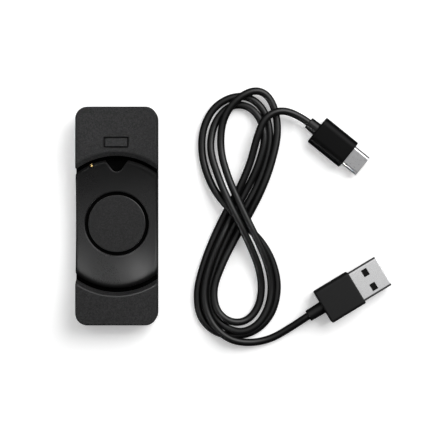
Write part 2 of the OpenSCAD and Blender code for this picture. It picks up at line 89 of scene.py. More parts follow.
class Graph:
    """The node tree of a material or of the world, written to through one generic node method."""

    def __init__(self, name: str, kind: str = "Material") -> None:
        """Starts an empty tree.

        Args:
            name: the material's or world's name.
            kind: "Material" or "World".
        """
        self.kind = kind
        self.data = (bpy.data.worlds if kind == "World" else bpy.data.materials).new(name)
        self.data.use_nodes = True
        self.tree = self.data.node_tree
        self.tree.nodes.clear()

    def node(self, kind: str, settings: dict[str, Any] | None = None, out: int | str = 0,
             **inputs: Any) -> "Sock":
        """Adds a node of any kind.

        Args:
            kind: the node's type without its "ShaderNode" prefix.
            settings: attributes set first.
            out: the output socket to return.
            inputs: values or links by socket name, with _ for a space, or in<number> by place.

        Returns:
            The wanted output socket, wrapped.
        """
        made = self.tree.nodes.new("ShaderNode" + kind)
        for key, value in (settings or {}).items():
            setattr(made, key, value)
        for key, value in inputs.items():
            place = int(key[2:]) if key[:2] == "in" and key[2:].isdigit() else key.replace("_", " ")
            self._feed(made.inputs[place], value)
        return Sock(self, made.outputs[out])

    def _feed(self, socket: bpy.types.NodeSocket, value: Any) -> None:
        """Links a wrapped socket, or sets a plain value.

        Args:
            socket: the input to feed.
            value: a Sock, a number or a tuple.
        """
        if isinstance(value, Sock):
            self.tree.links.new(value.socket, socket)
        elif isinstance(value, tuple) and len(value) == 3 and socket.type == "RGBA":
            socket.default_value = (*value, 1.0)
        else:
            socket.default_value = value

    def coordinates(self, which: str = "Object") -> "Sock":
        """The piece's own coordinates: "Object" or "UV"."""
        return self.node("TexCoord", out=which)

    def noise(self, vector: "Sock", scale: float, detail: float = 2.0, roughness: float = 0.5) -> "Sock":
        """Smooth noise from 0 to 1.

        Args:
            vector: where it is read.
            scale: cells per metre.
            detail: octaves.
            roughness: how strong the finer octaves are.

        Returns:
            The noise as a grey value.
        """
        return self.node("TexNoise", Vector=vector, Scale=scale, Detail=detail, Roughness=roughness)

    def stretched(self, vector: "Sock", scale: Triple, turn: Triple = (0.0, 0.0, 0.0)) -> "Sock":
        """Coordinates turned, then scaled along each axis, for grain that runs one way."""
        turned = self.node("Mapping", {"vector_type": "TEXTURE"}, Vector=vector, Rotation=turn)
        return self.node("Mapping", Vector=turned, Scale=scale)

    def tint(self, factor: "Sock", low: Triple, high: Triple) -> "Sock":
        """A colour that runs from low to high as factor runs from 0 to 1."""
        return self.node("Mix", {"data_type": "RGBA"}, out=2, in0=factor, in6=low, in7=high)

    def bump(self, height: "Sock", distance: float, strength: float = 1.0) -> "Sock":
        """A bumped normal for a height from 0 to 1 that stands distance metres high."""
        return self.node("Bump", Height=height, Distance=distance, Strength=strength)

    def close(self, shader: "Sock") -> Any:
        """Links a shader to the output's surface.

        Args:
            shader: the shader to link.

        Returns:
            The finished material or world.
        """
        end = self.tree.nodes.new("ShaderNodeOutput" + self.kind)
        self.tree.links.new(shader.socket, end.inputs["Surface"])
        return self.data

    def principled(self, **inputs: Any) -> bpy.types.Material:
        """Ends the material with a Principled shader; inputs are its sockets, with _ for a space."""
        return self.close(self.node("BsdfPrincipled", **inputs))


class Sock:
    """A shader socket that takes part in Python arithmetic."""

    def __init__(self, graph: Graph, socket: bpy.types.NodeSocket) -> None:
        """Wraps a socket of a graph."""
        self.graph = graph
        self.socket = socket

    def _math(self, operation: str, first: Any, second: Any) -> "Sock":
        """A Math node on two values."""
        return self.graph.node("Math", {"operation": operation}, in0=first, in1=second)

    def __add__(self, other: Any) -> "Sock":
        """self + other."""
        return self._math("ADD", self, other)

    def __radd__(self, other: Any) -> "Sock":
        """other + self."""
        return self._math("ADD", other, self)

    def __sub__(self, other: Any) -> "Sock":
        """self - other."""
        return self._math("SUBTRACT", self, other)

    def __rsub__(self, other: Any) -> "Sock":
        """other - self."""
        return self._math("SUBTRACT", other, self)

    def __mul__(self, other: Any) -> "Sock":
        """self * other."""
        return self._math("MULTIPLY", self, other)

    def __rmul__(self, other: Any) -> "Sock":
        """other * self."""
        return self._math("MULTIPLY", other, self)

    def over(self, edge: float) -> "Sock":
        """1 where the value is above edge, else 0."""
        return self._math("GREATER_THAN", self, edge)


# ---------------------------------------------------------------- finishes


def shade(colour: Triple, factor: float) -> Triple:
    """A colour made lighter or darker by a factor."""
    return tuple(min(1.0, channel * factor) for channel in colour)


def spread(colour: Triple, share: float) -> tuple[Triple, Triple]:
    """A colour made darker and lighter by the same share of itself."""
    return shade(colour, 1 - share), shade(colour, 1 + share)


@dataclass(frozen=True)
class MouldedFinish:
    """Moulded plastic or rubber: a fine grain from the mould, cloudy gloss, and slight unevenness of colour.

    The grain is noise at grain_mm; its height goes to the bump and its tops are a little lighter. A broad
    noise at cloud_mm moves the roughness, as flow and handling do.
    """

    name: str
    colour: Triple
    roughness: float
    grain_mm: float = 0.3
    grain_depth_mm: float = 0.01
    grain_contrast: float = 0.25
    cloud_mm: float = 14.0
    cloud: float = 0.05
    specular: float = 0.5
    grain_spread: float = 2.4
    grain_gloss: float = 0.08

    def surface(self) -> tuple[Graph, Sock, Sock, dict[str, Any]]:
        """The surface's grain and cloud, and the shader inputs that come from them.

        Returns:
            The graph, the grain, the cloud, and the roughness, the specular level and the normal.
        """
        g = Graph(self.name)
        grain = g.noise(g.coordinates(), 1 / (self.grain_mm * MM), 3.0, 0.55)
        cloud = g.noise(g.coordinates(), 1 / (self.cloud_mm * MM), 2.0)
        rough = self.roughness + (cloud - 0.5) * (2 * self.cloud) + (grain - 0.5) * self.grain_gloss
        normal = g.bump(grain, self.grain_depth_mm * MM)
        return g, grain, cloud, {"Roughness": rough, "Specular_IOR_Level": self.specular, "Normal": normal}

    def material(self) -> bpy.types.Material:
        """Builds the material.

        Returns:
            The finished material.
        """
        g, grain, cloud, inputs = self.surface()
        share = (grain - 0.5) * self.grain_spread + 0.4 + cloud * 0.2
        return g.principled(Base_Color=g.tint(share, *spread(self.colour, self.grain_contrast)), **inputs)


@dataclass(frozen=True)
class DishFinish(MouldedFinish):
    """Satin plastic that turns matt towards the dish's rim, where its colour is also darkened as painted
    shade.

    The share of matt rises from 0 to 1 as the distance from the seat's axis goes from start_mm to end_mm.
    """

    grain_gloss: float = 0.04
    axis_y_mm: float = -2.8
    start_mm: float = 20.8
    end_mm: float = 23.2
    # Near-black colours of the rim's painted shade.
    rim_shade_low: float = 0.0015
    rim_shade_high: float = 0.003
    matt_roughness: float = 0.8
    matt_specular: float = 0.12

    def material(self) -> bpy.types.Material:
        """Builds the material.

        Returns:
            The finished material.
        """
        g, grain, cloud, inputs = self.surface()
        colour = g.tint(grain, *spread(self.colour, self.grain_contrast))
        satin = g.node("BsdfPrincipled", Base_Color=colour, **inputs)
        # Painted shade: towards the rim the colour darkens to these values. The higher roughness there is the
        # real matt finish.
        colour = g.tint(grain, (self.rim_shade_low,) * 3, (self.rim_shade_high,) * 3)
        inputs |= {"Roughness": self.matt_roughness + (cloud - 0.5) * 0.1,
                   "Specular_IOR_Level": self.matt_specular}
        matt = g.node("BsdfPrincipled", Base_Color=colour, **inputs)
        flat = g.node("Mapping", Vector=g.coordinates(), Location=(0.0, -self.axis_y_mm * MM, 0.0),
                      Scale=(1.0, 1.0, 0.0))
        far = g.node("VectorMath", {"operation": "LENGTH"}, out="Value", in0=flat)
        share = g.node("MapRange", {"interpolation_type": "SMOOTHSTEP"}, Value=far,
                       From_Min=self.start_mm * MM, From_Max=self.end_mm * MM)
        return g.close(g.node("MixShader", in0=share, in1=satin, in2=matt))


@dataclass(frozen=True)
class ExtrudedFinish:
    """The cord's soft PVC: faint draw lines along its length, wandering gloss and fine dust.

    The UV map holds metres along the cord and metres round it, so the lines run with the cord.
    """

    name: str
    colour: Triple
    roughness: float
    specular: float = 0.5

    def material(self) -> bpy.types.Material:
        """Builds the material.

        Returns:
            The finished material.
        """
        g = Graph(self.name)
        along = g.stretched(g.coordinates("UV"), (60.0, 3200.0, 1.0))
        lines = g.noise(along, 1.0, 2.0)
        wander = g.noise(g.coordinates(), 1 / (9 * MM), 2.0)
        dust = g.noise(g.coordinates(), 1 / (0.35 * MM), 1.0).over(0.79)
        return g.principled(
            Base_Color=g.tint(dust * 0.5 + lines * 0.2, self.colour, shade(self.colour, 2.6)),
            Roughness=self.roughness + (wander - 0.5) * 0.12 + (lines - 0.5) * 0.06 + dust * 0.2,
            Specular_IOR_Level=self.specular,
            Normal=g.bump(lines, 0.004 * MM),
        )


@dataclass(frozen=True)
class MetalFinish:
    """Plated or rolled metal: fine lines one way and a cloudy film.

    The lines run at line_angle degrees about Z. lines and film say how far each moves the roughness,
    film_mm is the size of the film's clouds, and uneven is how far both move the colour.
    """

    name: str
    colour: Triple
    roughness: float
    line_angle: float = 0.0
    lines: float = 0.12
    film: float = 0.06
    film_mm: float = 0.7
    uneven: float = 0.12

    def material(self) -> bpy.types.Material:
        """Builds the material.

        Returns:
            The finished material.
        """
        g = Graph(self.name)
        turn = (0.0, 0.0, math.radians(self.line_angle))
        along = g.stretched(g.coordinates(), (700.0, 14000.0, 9000.0), turn)
        lines = g.noise(along, 1.0, 3.0, 0.6)
        film = g.noise(g.coordinates(), 1 / (self.film_mm * MM), 3.0, 0.6)
        return g.principled(
            Base_Color=g.tint(lines * 0.5 + film * 0.5, *spread(self.colour, self.uneven)),
            Roughness=self.roughness + (lines - 0.5) * self.lines + (film - 0.5) * 2 * self.film,
            Metallic=1.0,
            Normal=g.bump(lines, 0.0015 * MM, 0.6),
        )


@dataclass(frozen=True)
class ClearFinish:
    """A clear moulded light guide with faint flow lines."""

    name: str
    colour: Triple

    def material(self) -> bpy.types.Material:
        """Builds the material.

        Returns:
            The finished material.
        """
        g = Graph(self.name)
        flow = g.noise(g.stretched(g.coordinates(), (600.0, 600.0, 150.0)), 1.0, 2.0)
        return g.principled(
            Base_Color=g.tint(flow, shade(self.colour, 0.92), self.colour),
            Roughness=0.12 + flow * 0.1,
            Transmission_Weight=0.85,
            IOR=1.49,
        )


@dataclass(frozen=True)
class BoardFinish:
    """Solder mask over copper: the tracks stand a little proud and lighter under the mask."""

    name: str
    colour: Triple

    def material(self) -> bpy.types.Material:
        """Builds the material.

        Returns:
            The finished material.
        """
        g = Graph(self.name)
        place = g.coordinates()
        cells = g.node("TexVoronoi", {"distance": "CHEBYCHEV"}, Vector=place, Scale=1 / (1.4 * MM),
                       Randomness=0.2)
        tracks = cells.over(0.42)
        weave = g.noise(place, 1 / (0.5 * MM), 2.0)
        return g.principled(
            Base_Color=g.tint(tracks * 0.7 + weave * 0.3, self.colour, shade(self.colour, 1.9)),
            Roughness=0.32 + weave * 0.12,
            Normal=g.bump(tracks, 0.03 * MM, 0.6),
        )


LEDGE_BLACK = (0.0150, 0.0150, 0.0154)
DISH_BLACK = (0.0060, 0.0060, 0.0062)
CORD_BLACK = (0.0014, 0.0014, 0.0015)
STEEL = (0.56, 0.56, 0.57)
GOLD = (0.92, 0.66, 0.27)
# The way each plug points, in degrees about Z.
SMALL_TURN = -39.0
LARGE_TURN = 31.2

FINISHES = {
    "black_ledge_plastic": MouldedFinish("ledge_grain", LEDGE_BLACK, 0.58, 0.45, 0.08, 0.7, specular=0.2),
    "black_satin_plastic": DishFinish("dish_satin", DISH_BLACK, 0.28, 0.3, 0.002, 0.7, cloud=0.02,
                                      specular=0.36),
    "black_pad_plastic": MouldedFinish("pad_grain", shade(LEDGE_BLACK, 0.8), 0.58, 0.45, 0.05, 0.5,
                                       specular=0.2),
    "smoked_window": MouldedFinish("window_smoke", shade(LEDGE_BLACK, 1.05), 0.55, 0.6, 0.06, 0.7,
                                   specular=0.22),
    "clear_plastic": ClearFinish("light_guide", (0.9, 0.93, 0.94)),
    "led_body": MouldedFinish("led_white", (0.8, 0.78, 0.68), 0.35, 0.1, 0.001, 0.04),
    "foot_rubber": MouldedFinish("foot_rubber", (0.014, 0.014, 0.014), 0.85, 0.35, 0.03, 0.35),
    "screw_steel": MetalFinish("screw_zinc", STEEL, 0.34),
    "board_green": BoardFinish("board_mask", (0.012, 0.085, 0.035)),
    "chip_black": MouldedFinish("chip_resin", (0.02, 0.02, 0.021), 0.6, 0.15, 0.006, 0.25),
    "component_tan": MouldedFinish("fired_body", (0.33, 0.24, 0.15), 0.5, 0.1, 0.003, 0.2),
    "connector_steel": MetalFinish("socket_tin", (0.6, 0.6, 0.6), 0.3, 90.0),
    "insulator_black": MouldedFinish("insulator_resin", (0.0025,) * 3, 0.6, 0.2, 0.003, 0.15, specular=0.12),
    "contact_gold": MetalFinish("contact_gold", GOLD, 0.22, lines=0.06),
    "magnet_nickel": MetalFinish("magnet_nickel", (0.6, 0.58, 0.54), 0.2, lines=0.04),
    "sheet_steel": MetalFinish("zinc_sheet", (0.48, 0.49, 0.5), 0.42, 90.0),
    "barrel_brass": MetalFinish("turned_brass", (0.78, 0.58, 0.28), 0.3),
    "spring_steel": MetalFinish("drawn_wire", (0.5, 0.5, 0.52), 0.3),
    "lead_copper": MetalFinish("tinned_strip", (0.74, 0.44, 0.27), 0.38),
    "cord_pvc": ExtrudedFinish("cord_pvc", CORD_BLACK, 0.42, 0.38),
    "c_grip_plastic": MouldedFinish("c_grip_satin", (0.0013, 0.0013, 0.0014), 0.45, 0.3, 0.003, 0.12,
                                    specular=0.08),
    "a_grip_plastic": MouldedFinish("a_grip_matt", (0.0058, 0.0058, 0.0060), 0.5, 0.28, 0.005, 0.15,
                                    specular=0.24),
    "c_shell_steel": MetalFinish("c_shell_nickel", (0.35, 0.35, 0.355), 0.3, SMALL_TURN, film_mm=1.4),
    "a_shell_steel": MetalFinish("a_shell_nickel", (0.76, 0.76, 0.765), 0.28, LARGE_TURN, 0.05, 0.035, 0.6,
                                 0.07),
    "core_white": MouldedFinish("core_resin", (0.62, 0.62, 0.6), 0.45, 0.2, 0.003, 0.05),
}
# Painted shade: a near-black, rough finish laid on the groove floors and the pad's recess floor, where shade
# falls.
GROOVE_SHADE_FINISH = MouldedFinish("groove_painted_shade", (0.0007, 0.0007, 0.0007), 0.9, 0.3, 0.01, 0.2, specular=0.04)
EDGE_FINISH = MouldedFinish("polished_edge", (0.006, 0.006, 0.006), 0.3, 0.3, 0.003, 0.2, specular=0.5)
RELIEF_FINISH = MouldedFinish("relief_pvc", CORD_BLACK, 0.45, 0.3, 0.003, 0.15, specular=0.3)


class Dresser:
    """Makes each finish's material once and hands it out by the record's slot."""

    def __init__(self) -> None:
        """Starts with no materials made."""
        self._made: dict[str, bpy.types.Material] = {}

    def of(self, slot: str) -> bpy.types.Material:
        """Finds a slot's material, and makes it the first time.

        Args:
            slot: the record's material slot.

        Returns:
            The material.
        """
        if slot not in self._made:
            self._made[slot] = FINISHES[slot].material()
        return self._made[slot]

    def dress_cad_nodes(self) -> None:
        """Gives every CAD node that stays in view its slot's material."""
        for row in frame["record"]["subparts"]:
            node = frame["nodes"][row["node"]]
            node.data.materials.clear()
            node.data.materials.append(self.of(row["material_slot"]))
            LOG.info("dressed CAD node %s as %s", row["node"], row["material_slot"])


# ---------------------------------------------------------------- shapes


def quarter(radius: float, steps: int = 5) -> tuple[Array, Array]:
    """A fillet seen from the side: how far in and how far up each of its points lies.

    in = r (1 - cos a) and up = r sin a, for a from 0 to 90 degrees.

    Args:
        radius: the fillet's radius.
        steps: how many points after the first.

    Returns:
        The insets and the rises, each steps + 1 long.
    """
    a = np.linspace(0, np.pi / 2, steps + 1)
    return radius * (1 - np.cos(a)), radius * np.sin(a)


def arc(centre: Pair, radius: float, start: float, end: float, steps: int) -> Array:
    """Points on a circle's arc, both ends included: centre + r (cos a, sin a).

    Args:
        centre: the circle's centre.
        radius: its radius.
        start: first angle in radians.
        end: last angle in radians.
        steps: how many points after the first.

    Returns:
        An array of points, steps + 1 by 2.
    """
    a = np.linspace(start, end, steps + 1)
    return np.column_stack([centre[0] + radius * np.cos(a), centre[1] + radius * np.sin(a)])


def round_rectangle(width: float, length: float, radius: float, steps: int = 8) -> Array:
    """A rectangle with round corners, anticlockwise from its lower right corner.

    Args:
        width: size along the first axis.
        length: size along the second axis.
        radius: corner radius.
        steps: points per corner, less one.

    Returns:
        The loop's points, 4 (steps + 1) by 2.
    """
    r = max(radius, 1e-3)
    x, y = width / 2 - r, length / 2 - r
    corners = [(x, -y, -0.5), (x, y, 0.0), (-x, y, 0.5), (-x, -y, 1.0)]
    return np.vstack([arc((cx, cy), r, turn * np.pi, (turn + 0.5) * np.pi, steps)
                      for cx, cy, turn in corners])


def at_height(loop: Array, height: float) -> Array:
    """A flat loop lifted to a height, as points in space."""
    return np.column_stack([loop, np.full(len(loop), height)])


class Solid:
    """Rings and caps gathered into one mesh of closed shells, in millimetres."""

    def __init__(self) -> None:
        """Starts empty."""
        self.points: list[Array] = []
        self.faces: list[list[int]] = []
        self.count = 0

    def add_rings(self, rings: Sequence[Array], closed: bool = False) -> "Solid":
        """Joins rings of equal length with quads, and caps both ends unless the rings close on themselves.

        Args:
            rings: each an array of points, all of one length.
            closed: True for a tube wall, whose last ring joins its first.

        Returns:
            The solid, for chaining.
        """
        stack = np.stack(rings)
        rows, cols = stack.shape[:2]
        index = self.count + np.arange(rows * cols).reshape(rows, cols)
        upper = np.roll(index, -1, axis=0) if closed else index[1:]
        lower = index if closed else index[:-1]
        quads = np.stack([lower, np.roll(lower, -1, 1), np.roll(upper, -1, 1), upper], -1).reshape(-1, 4)
        self.faces += quads.tolist()
        if not closed:
            self.faces += [index[0][::-1].tolist(), index[-1].tolist()]
        self.points.append(stack.reshape(-1, 3))
        self.count += rows * cols
        return self

    def add(self, other: "Solid") -> "Solid":
        """Takes in another solid's shells.

        Args:
            other: the solid to take in.

        Returns:
            The solid, for chaining.
        """
        self.faces += [[i + self.count for i in face] for face in other.faces]
        self.points += other.points
        self.count += other.count
        return self

    def moved(self, matrix: Matrix) -> "Solid":
        """Puts all points through a matrix.

        Args:
            matrix: a 4 by 4 matrix.

        Returns:
            The solid, for chaining.
        """
        m = np.array(matrix)
        self.points = [p @ m[:3, :3].T + m[:3, 3] for p in self.points]
        return self

    def mesh(self, name: str) -> bpy.types.Mesh:
        """The gathered shells as a mesh in metres, shells turned to face outwards.

        Args:
            name: the mesh's name.

        Returns:
            The mesh.
        """
        made = bpy.data.meshes.new(name)
        made.from_pydata((np.vstack(self.points) * MM).tolist(), [], self.faces)
        made.validate()
        shape = bmesh.new()
        shape.from_mesh(made)
        bmesh.ops.recalc_face_normals(shape, faces=shape.faces)
        shape.to_mesh(made)
        shape.free()
        return made


def lathe(profile: Sequence[Pair], steps: int = 64, centre: Pair = (0.0, 0.0)) -> Solid:
    """A solid of revolution about Z: the profile's (radius, height) points turned round a full circle.

    Args:
        profile: outline from one flat end to the other.
        steps: points round the circle.
        centre: where the axis stands.

    Returns:
        The solid.
    """
    a = np.arange(steps) * 2 * np.pi / steps
    rings = [np.column_stack([centre[0] + r * np.cos(a), centre[1] + r * np.sin(a), np.full(steps, z)])
             for r, z in profile]
    return Solid().add_rings(rings)


def coil(mean: float, wire: float, length: float, turns: int) -> Solid:
    """A coil spring along +Z from 0 to length: a round wire carried along a helix.

    At the turn angle a and the wire's own angle b, the radius is mean + wire cos b and the height is
    wire + rise a + wire sin b, where rise spreads the turns over the length.

    Args:
        mean: radius of the helix.
        wire: radius of the wire.
        length: height from end to end.
        turns: how many turns.

    Returns:
        The solid.
    """
    a = np.linspace(0, turns * 2 * np.pi, turns * 20 + 1)[:, None]
    b = np.linspace(0, 2 * np.pi, 8, endpoint=False)[None, :]
    r, z = mean + wire * np.cos(b), wire + (length - 2 * wire) * a / a[-1] + wire * np.sin(b)
    return Solid().add_rings(list(np.stack([r * np.cos(a), r * np.sin(a), z], -1)))


def round_block(width: float, length: float, low: float, high: float, corner: float, top_fillet: float,
                low_fillet: float, centre: Pair = (0.0, 0.0)) -> Solid:
    """An upright block whose plan corners, top edge and bottom edge are all round.

    Each ring is the plan loop drawn in by the fillet's inset at that height.

    Args:
        width: size along X.
        length: size along Y.
        low: height of the underside.
        high: height of the top.
        corner: plan corner radius.
        top_fillet: radius of the top edge.
        low_fillet: radius of the bottom edge.
        centre: the block's middle in plan.

    Returns:
        The solid.
    """
    top_in, top_up = quarter(top_fillet)
    low_in, low_up = quarter(low_fillet)
    insets = np.concatenate([low_in[::-1], top_in])
    heights = np.concatenate([low + low_fillet - low_up[::-1], high - top_fillet + top_up])
    rings = [at_height(round_rectangle(width - 2 * i, length - 2 * i, corner - i) + centre, z)
             for i, z in zip(insets, heights)]
    return Solid().add_rings(rings)


class Workshop:
    """Turns solids into dressed pieces that ride on the frame."""

    def __init__(self, dresser: Dresser) -> None:
        """Keeps the materials at hand.

        Args:
            dresser: where the materials come from.
        """
        self.dresser = dresser
        self.groove_shade_material = GROOVE_SHADE_FINISH.material()
        self.edge_material = EDGE_FINISH.material()

    def piece(self, name: str, solid: Solid, body: str, slot: str, replaces: Sequence[str] = (),
              cutters: Sequence[Solid] = (), material: bpy.types.Material | None = None,
              crease: float = 35.0) -> bpy.types.Object:
        """Makes one piece.

        Args:
            name: the piece's name.
            solid: its shape.
            body: the CAD body that it rides on.
            slot: the record's material slot.
            replaces: the CAD nodes that it stands for.
            cutters: solids taken away from it.
            material: a material other than the slot's.
            crease: faces that meet at more than this many degrees keep a sharp edge.

        Returns:
            The new object.
        """
        mesh = solid.mesh(name)
        piece = bpy.data.objects.new(name, mesh)
        bpy.context.scene.collection.objects.link(piece)
        for cutter in cutters:
            self._cut(piece, cutter)
        piece.data.materials.clear()
        piece.data.materials.append(material or self.dresser.of(slot))
        piece.data.polygons.foreach_set("use_smooth", np.ones(len(piece.data.polygons), bool))
        piece.data.set_sharp_from_angle(angle=math.radians(crease))
        flats = piece.modifiers.new("flats_stay_flat", "WEIGHTED_NORMAL")
        flats.keep_sharp = True
        flats.weight = 80
        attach(piece, body)
        if replaces:
            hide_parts(*replaces)
        LOG.info("made %s: %d faces on body %s", name, len(piece.data.polygons), body)
        return piece

    def paint(self, piece: bpy.types.Object, material: bpy.types.Material, low: float, high: float,
              flattest: float = 1.01, steepest: float = 0.3) -> None:
        """Gives a piece's upward faces between two heights another material.

        Args:
            piece: the piece to paint.
            material: the material for those faces.
            low: lowest height of the faces' middles.
            high: highest height of the faces' middles.
            flattest: the upward part of a face's normal must be less than this.
            steepest: and more than this.
        """
        count = len(piece.data.polygons)
        middle, normal = np.zeros(3 * count), np.zeros(3 * count)
        piece.data.polygons.foreach_get("center", middle)
        piece.data.polygons.foreach_get("normal", normal)
        height = middle[2::3] / MM
        upward = normal[2::3]
        chosen = (height > low) & (height < high) & (upward > steepest) & (upward < flattest)
        index = np.zeros(count, np.int32)
        piece.data.polygons.foreach_get("material_index", index)
        piece.data.materials.append(material)
        index[chosen] = len(piece.data.materials) - 1
        piece.data.polygons.foreach_set("material_index", index)

    def _cut(self, piece: bpy.types.Object, cutter: Solid) -> None:
        """Takes one solid away from a piece with an exact Boolean, and applies it.

        Args:
            piece: the piece to cut.
            cutter: the shape to remove.
        """
        tool = bpy.data.objects.new("cutter", cutter.mesh("cutter"))
        bpy.context.scene.collection.objects.link(tool)
        cut = piece.modifiers.new("cut", "BOOLEAN")
        cut.operation = "DIFFERENCE"
        cut.solver = "EXACT"
        cut.object = tool
        graph = bpy.context.evaluated_depsgraph_get()
        mesh = bpy.data.meshes.new_from_object(piece.evaluated_get(graph))
        piece.modifiers.clear()
        piece.data = mesh
        bpy.data.objects.remove(tool)

    def join(self, parts: Sequence[bpy.types.Object]) -> None:
        """Joins pieces into the first one, which keeps its name, body, slot and replaced nodes.

        Args:
            parts: the pieces to join.
        """
        first = parts[0]
        shape = bmesh.new()
        for part in parts:
            shape.from_mesh(part.data)
        shape.to_mesh(first.data)
        shape.free()
        for part in parts[1:]:
            bpy.data.objects.remove(part)


def box_mm(node: str) -> tuple[Array, Array]:
    """A CAD node's lowest and highest corners in millimetres."""
    low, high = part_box(node)
    return np.array(low) / MM, np.array(high) / MM


def middle_mm(node: str) -> Array:
    """The middle of a CAD node's box in millimetres."""
    low, high = box_mm(node)
    return (low + high) / 2


# ---------------------------------------------------------------- dock


class End(Enum):
    """The dock's two ends, by the sign of Y."""

    SOCKET = 1
    PLAIN = -1


# Height and arc radius up the seat's wall. At the socket end: an undercut, a thin lip, and a bevel that
# rises to the top. At the plain end: an upright foot, a slope outwards, an upright band and a fillet.
LIP_PROFILE = [
    (6.4, 26.2), (8.9, 26.2), (9.05, 26.1), (9.3, 25.2), (9.38, 24.95), (9.48, 24.84), (9.6, 24.8),
    (9.98, 24.8), (10.08, 24.85), (10.18, 24.98), (10.3, 25.16), (10.75, 25.86), (10.9, 26.12),
    (10.97, 26.32), (11.0, 26.6),
]
STEP_PROFILE = [
    (6.4, 25.2), (8.1, 25.2), (8.25, 25.24), (8.4, 25.34), (9.45, 26.1), (9.6, 26.18), (9.75, 26.2),
    (10.6, 26.2), (10.75, 26.23), (10.84, 26.29), (10.89, 26.38), (10.98, 26.8), (11.0, 26.95),
]


@dataclass
class Dock:
    """The dock's shell, dish, pad, window, base, foot and contacts.

    The driving sizes are read from the frame; the rest are the radii and heights of its edges.
    """

    shop: Workshop
    seat_r: float = 26.2
    groove_h: float = 6.4
    pocket_h: float = 6.0
    cover_top: float = 2.0
    top_fillet: float = 0.7
    skirt_fillet: float = 0.3
    groove_fillet: float = 0.25
    side_fillet: float = 0.9
    rim_fillet: float = 1.5
    notch_fillet: float = 0.35
    recess_fillet: float = 0.3
    pad_fillet: float = 0.28
    edge_band: float = 1.6
    notch_r: float = 2.45
    notch_y: float = 18.75
    notch_lean: float = math.radians(36)
    junction_r: float = 0.35
    pad_gap: float = 1.15
    window_size: Pair = (8.1, 2.95)
    window_gap: float = 0.5
    rim_h: float = 10.2
    bowl_h: float = 7.0
    corner: float = 4.4
    wall: float = 1.4
    pin_r: float = 0.52
    pin_bore_r: float = 0.58
    barrel_r: float = 0.9
    spring_r: float = 0.42
    spring_wire_r: float = 0.1
    spring_turns: int = 6
    spring_gap: float = 0.03
    screw_head_r: float = 1.7
    screw_recess_r: float = 1.9
    screw_mouth_r: float = 2.1
    hidden: float = 0.02
    press: float = 0.8

    def __post_init__(self) -> None:
        """Reads the driving sizes from the frame."""
        low, high = box_mm("upper_housing")
        self.half_w, self.half_l = high[0], high[1]
        self.skirt, self.top = low[2], high[2]
        dish_low, dish_high = box_mm("cradle_insert")
        pad_low, pad_high = box_mm("centre_pad")
        self.seat_y = middle_mm("centre_pad")[1]
        self.pad_r = (pad_high[0] - pad_low[0]) / 2
        self.pad_low, self.pad_top = pad_low[2], pad_high[2]
        self.dish_r = (dish_high[1] - dish_low[1]) / 2
        depth = self.rim_h - self.bowl_h
        self.bowl_r = (self.dish_r**2 + depth**2) / (2 * depth)

    # ---- housing

    def ledge_loop(self, end: End, inset: float, seat_r: float, junction: float) -> Array:
        """Plan outline of an end ledge, anticlockwise, about the seat's centre and towards +Y.

        The seat's arc, a small round corner, the straight side, the dock's round corner and the end follow
        each other, and mirror for the other side. A round corner of radius j between the side x = h and
        the arc of radius R has its centre at x = h - j, at distance R + j from the seat's centre.

        Args:
            end: which end; it sets how far the end face lies from the seat.
            inset: how far the outer faces are drawn in.
            seat_r: radius of the seat's arc at this height.
            junction: radius of the round corner between arc and side.

        Returns:
            The loop's points.
        """
        half = self.half_w - inset
        reach = self.half_l - end.value * self.seat_y - inset
        cx = half - junction
        cy = math.sqrt((seat_r + junction) ** 2 - cx**2)
        lean = math.atan2(cy, cx)
        r = max(self.corner - inset, 0.05)
        right = np.vstack([
            arc((cx, cy), junction, lean - np.pi, 0.0, 5),
            arc((half - r, reach - r), r, 0.0, np.pi / 2, 12),
        ])
        seat = arc((0.0, 0.0), seat_r, np.pi - lean, lean, 72)[1:-1]
        left = right[::-1] * [-1, 1]
        return np.vstack([seat, right, left])

    def ledge(self, end: End, seat_profile: Sequence[Pair]) -> Solid:
        """One end ledge from the base cover's top to the dock's top.

        Args:
            end: which end.
            seat_profile: (height, arc radius) pairs up the seat's wall, from the groove's floor to the top.

        Returns:
            The closed shell, in the dock's frame.
        """
        fillet_in, fillet_up = quarter(self.top_fillet, 6)
        shoulder = self.top - self.top_fillet
        heights, radii = np.array(seat_profile).T
        levels = np.unique(np.round(np.concatenate([heights, shoulder + fillet_up]), 4))
        loops = [(z, 0.0, radii[0], self.hidden) for z in (self.cover_top, self.groove_h)]
        for z in levels:
            inset = float(np.interp(z, shoulder + fillet_up, fillet_in)) if z > shoulder else 0.0
            loops.append((z, inset, float(np.interp(z, heights, radii)), self.junction_r))
        rings = [at_height(self.ledge_loop(end, inset, radius, j), z) for z, inset, radius, j in loops]
        flip = Matrix.Rotation(math.pi, 4, "Z") if end is End.PLAIN else Matrix.Identity(4)
        return Solid().add_rings(rings).moved(Matrix.Translation((0, self.seat_y, 0)) @ flip)

    def seat_loop(self, radius: float, half: float, steps: int = 48) -> Array:
        """Plan outline of a disc cut off at both sides, about the seat's centre.

        Args:
            radius: the disc's radius.
            half: it is cut off at x = -half and x = half.
            steps: points per arc, less one.

        Returns:
            The loop's points.
        """
        lean = math.acos(min(1.0, half / radius))
        upper = arc((0.0, 0.0), radius, lean, np.pi - lean, steps)
        return np.vstack([upper, -upper])

    def groove_strip(self, side: int) -> list[Array]:
        """The groove's floor on one side: a band between two arcs, cut off flush with the dock's sides.

        Args:
            side: 1 for the socket end, -1 for the plain end.

        Returns:
            The band's rings.
        """
        inner, outer = self.dish_r + 0.1, self.seat_r
        insets, ups = quarter(self.groove_fillet, 3)
        rings = []
        for z, inset in [(self.pocket_h, 0.0), *zip(self.groove_h - self.groove_fillet + ups, insets)]:
            half = self.half_w - inset
            a, b = math.acos(half / outer), math.acos(half / inner)
            band = np.vstack([arc((0.0, 0.0), outer, a, np.pi - a, 60),
                              arc((0.0, 0.0), inner, np.pi - b, b, 60)])
            rings.append(at_height(band * [1, side] + [0, self.seat_y], z))
        return rings

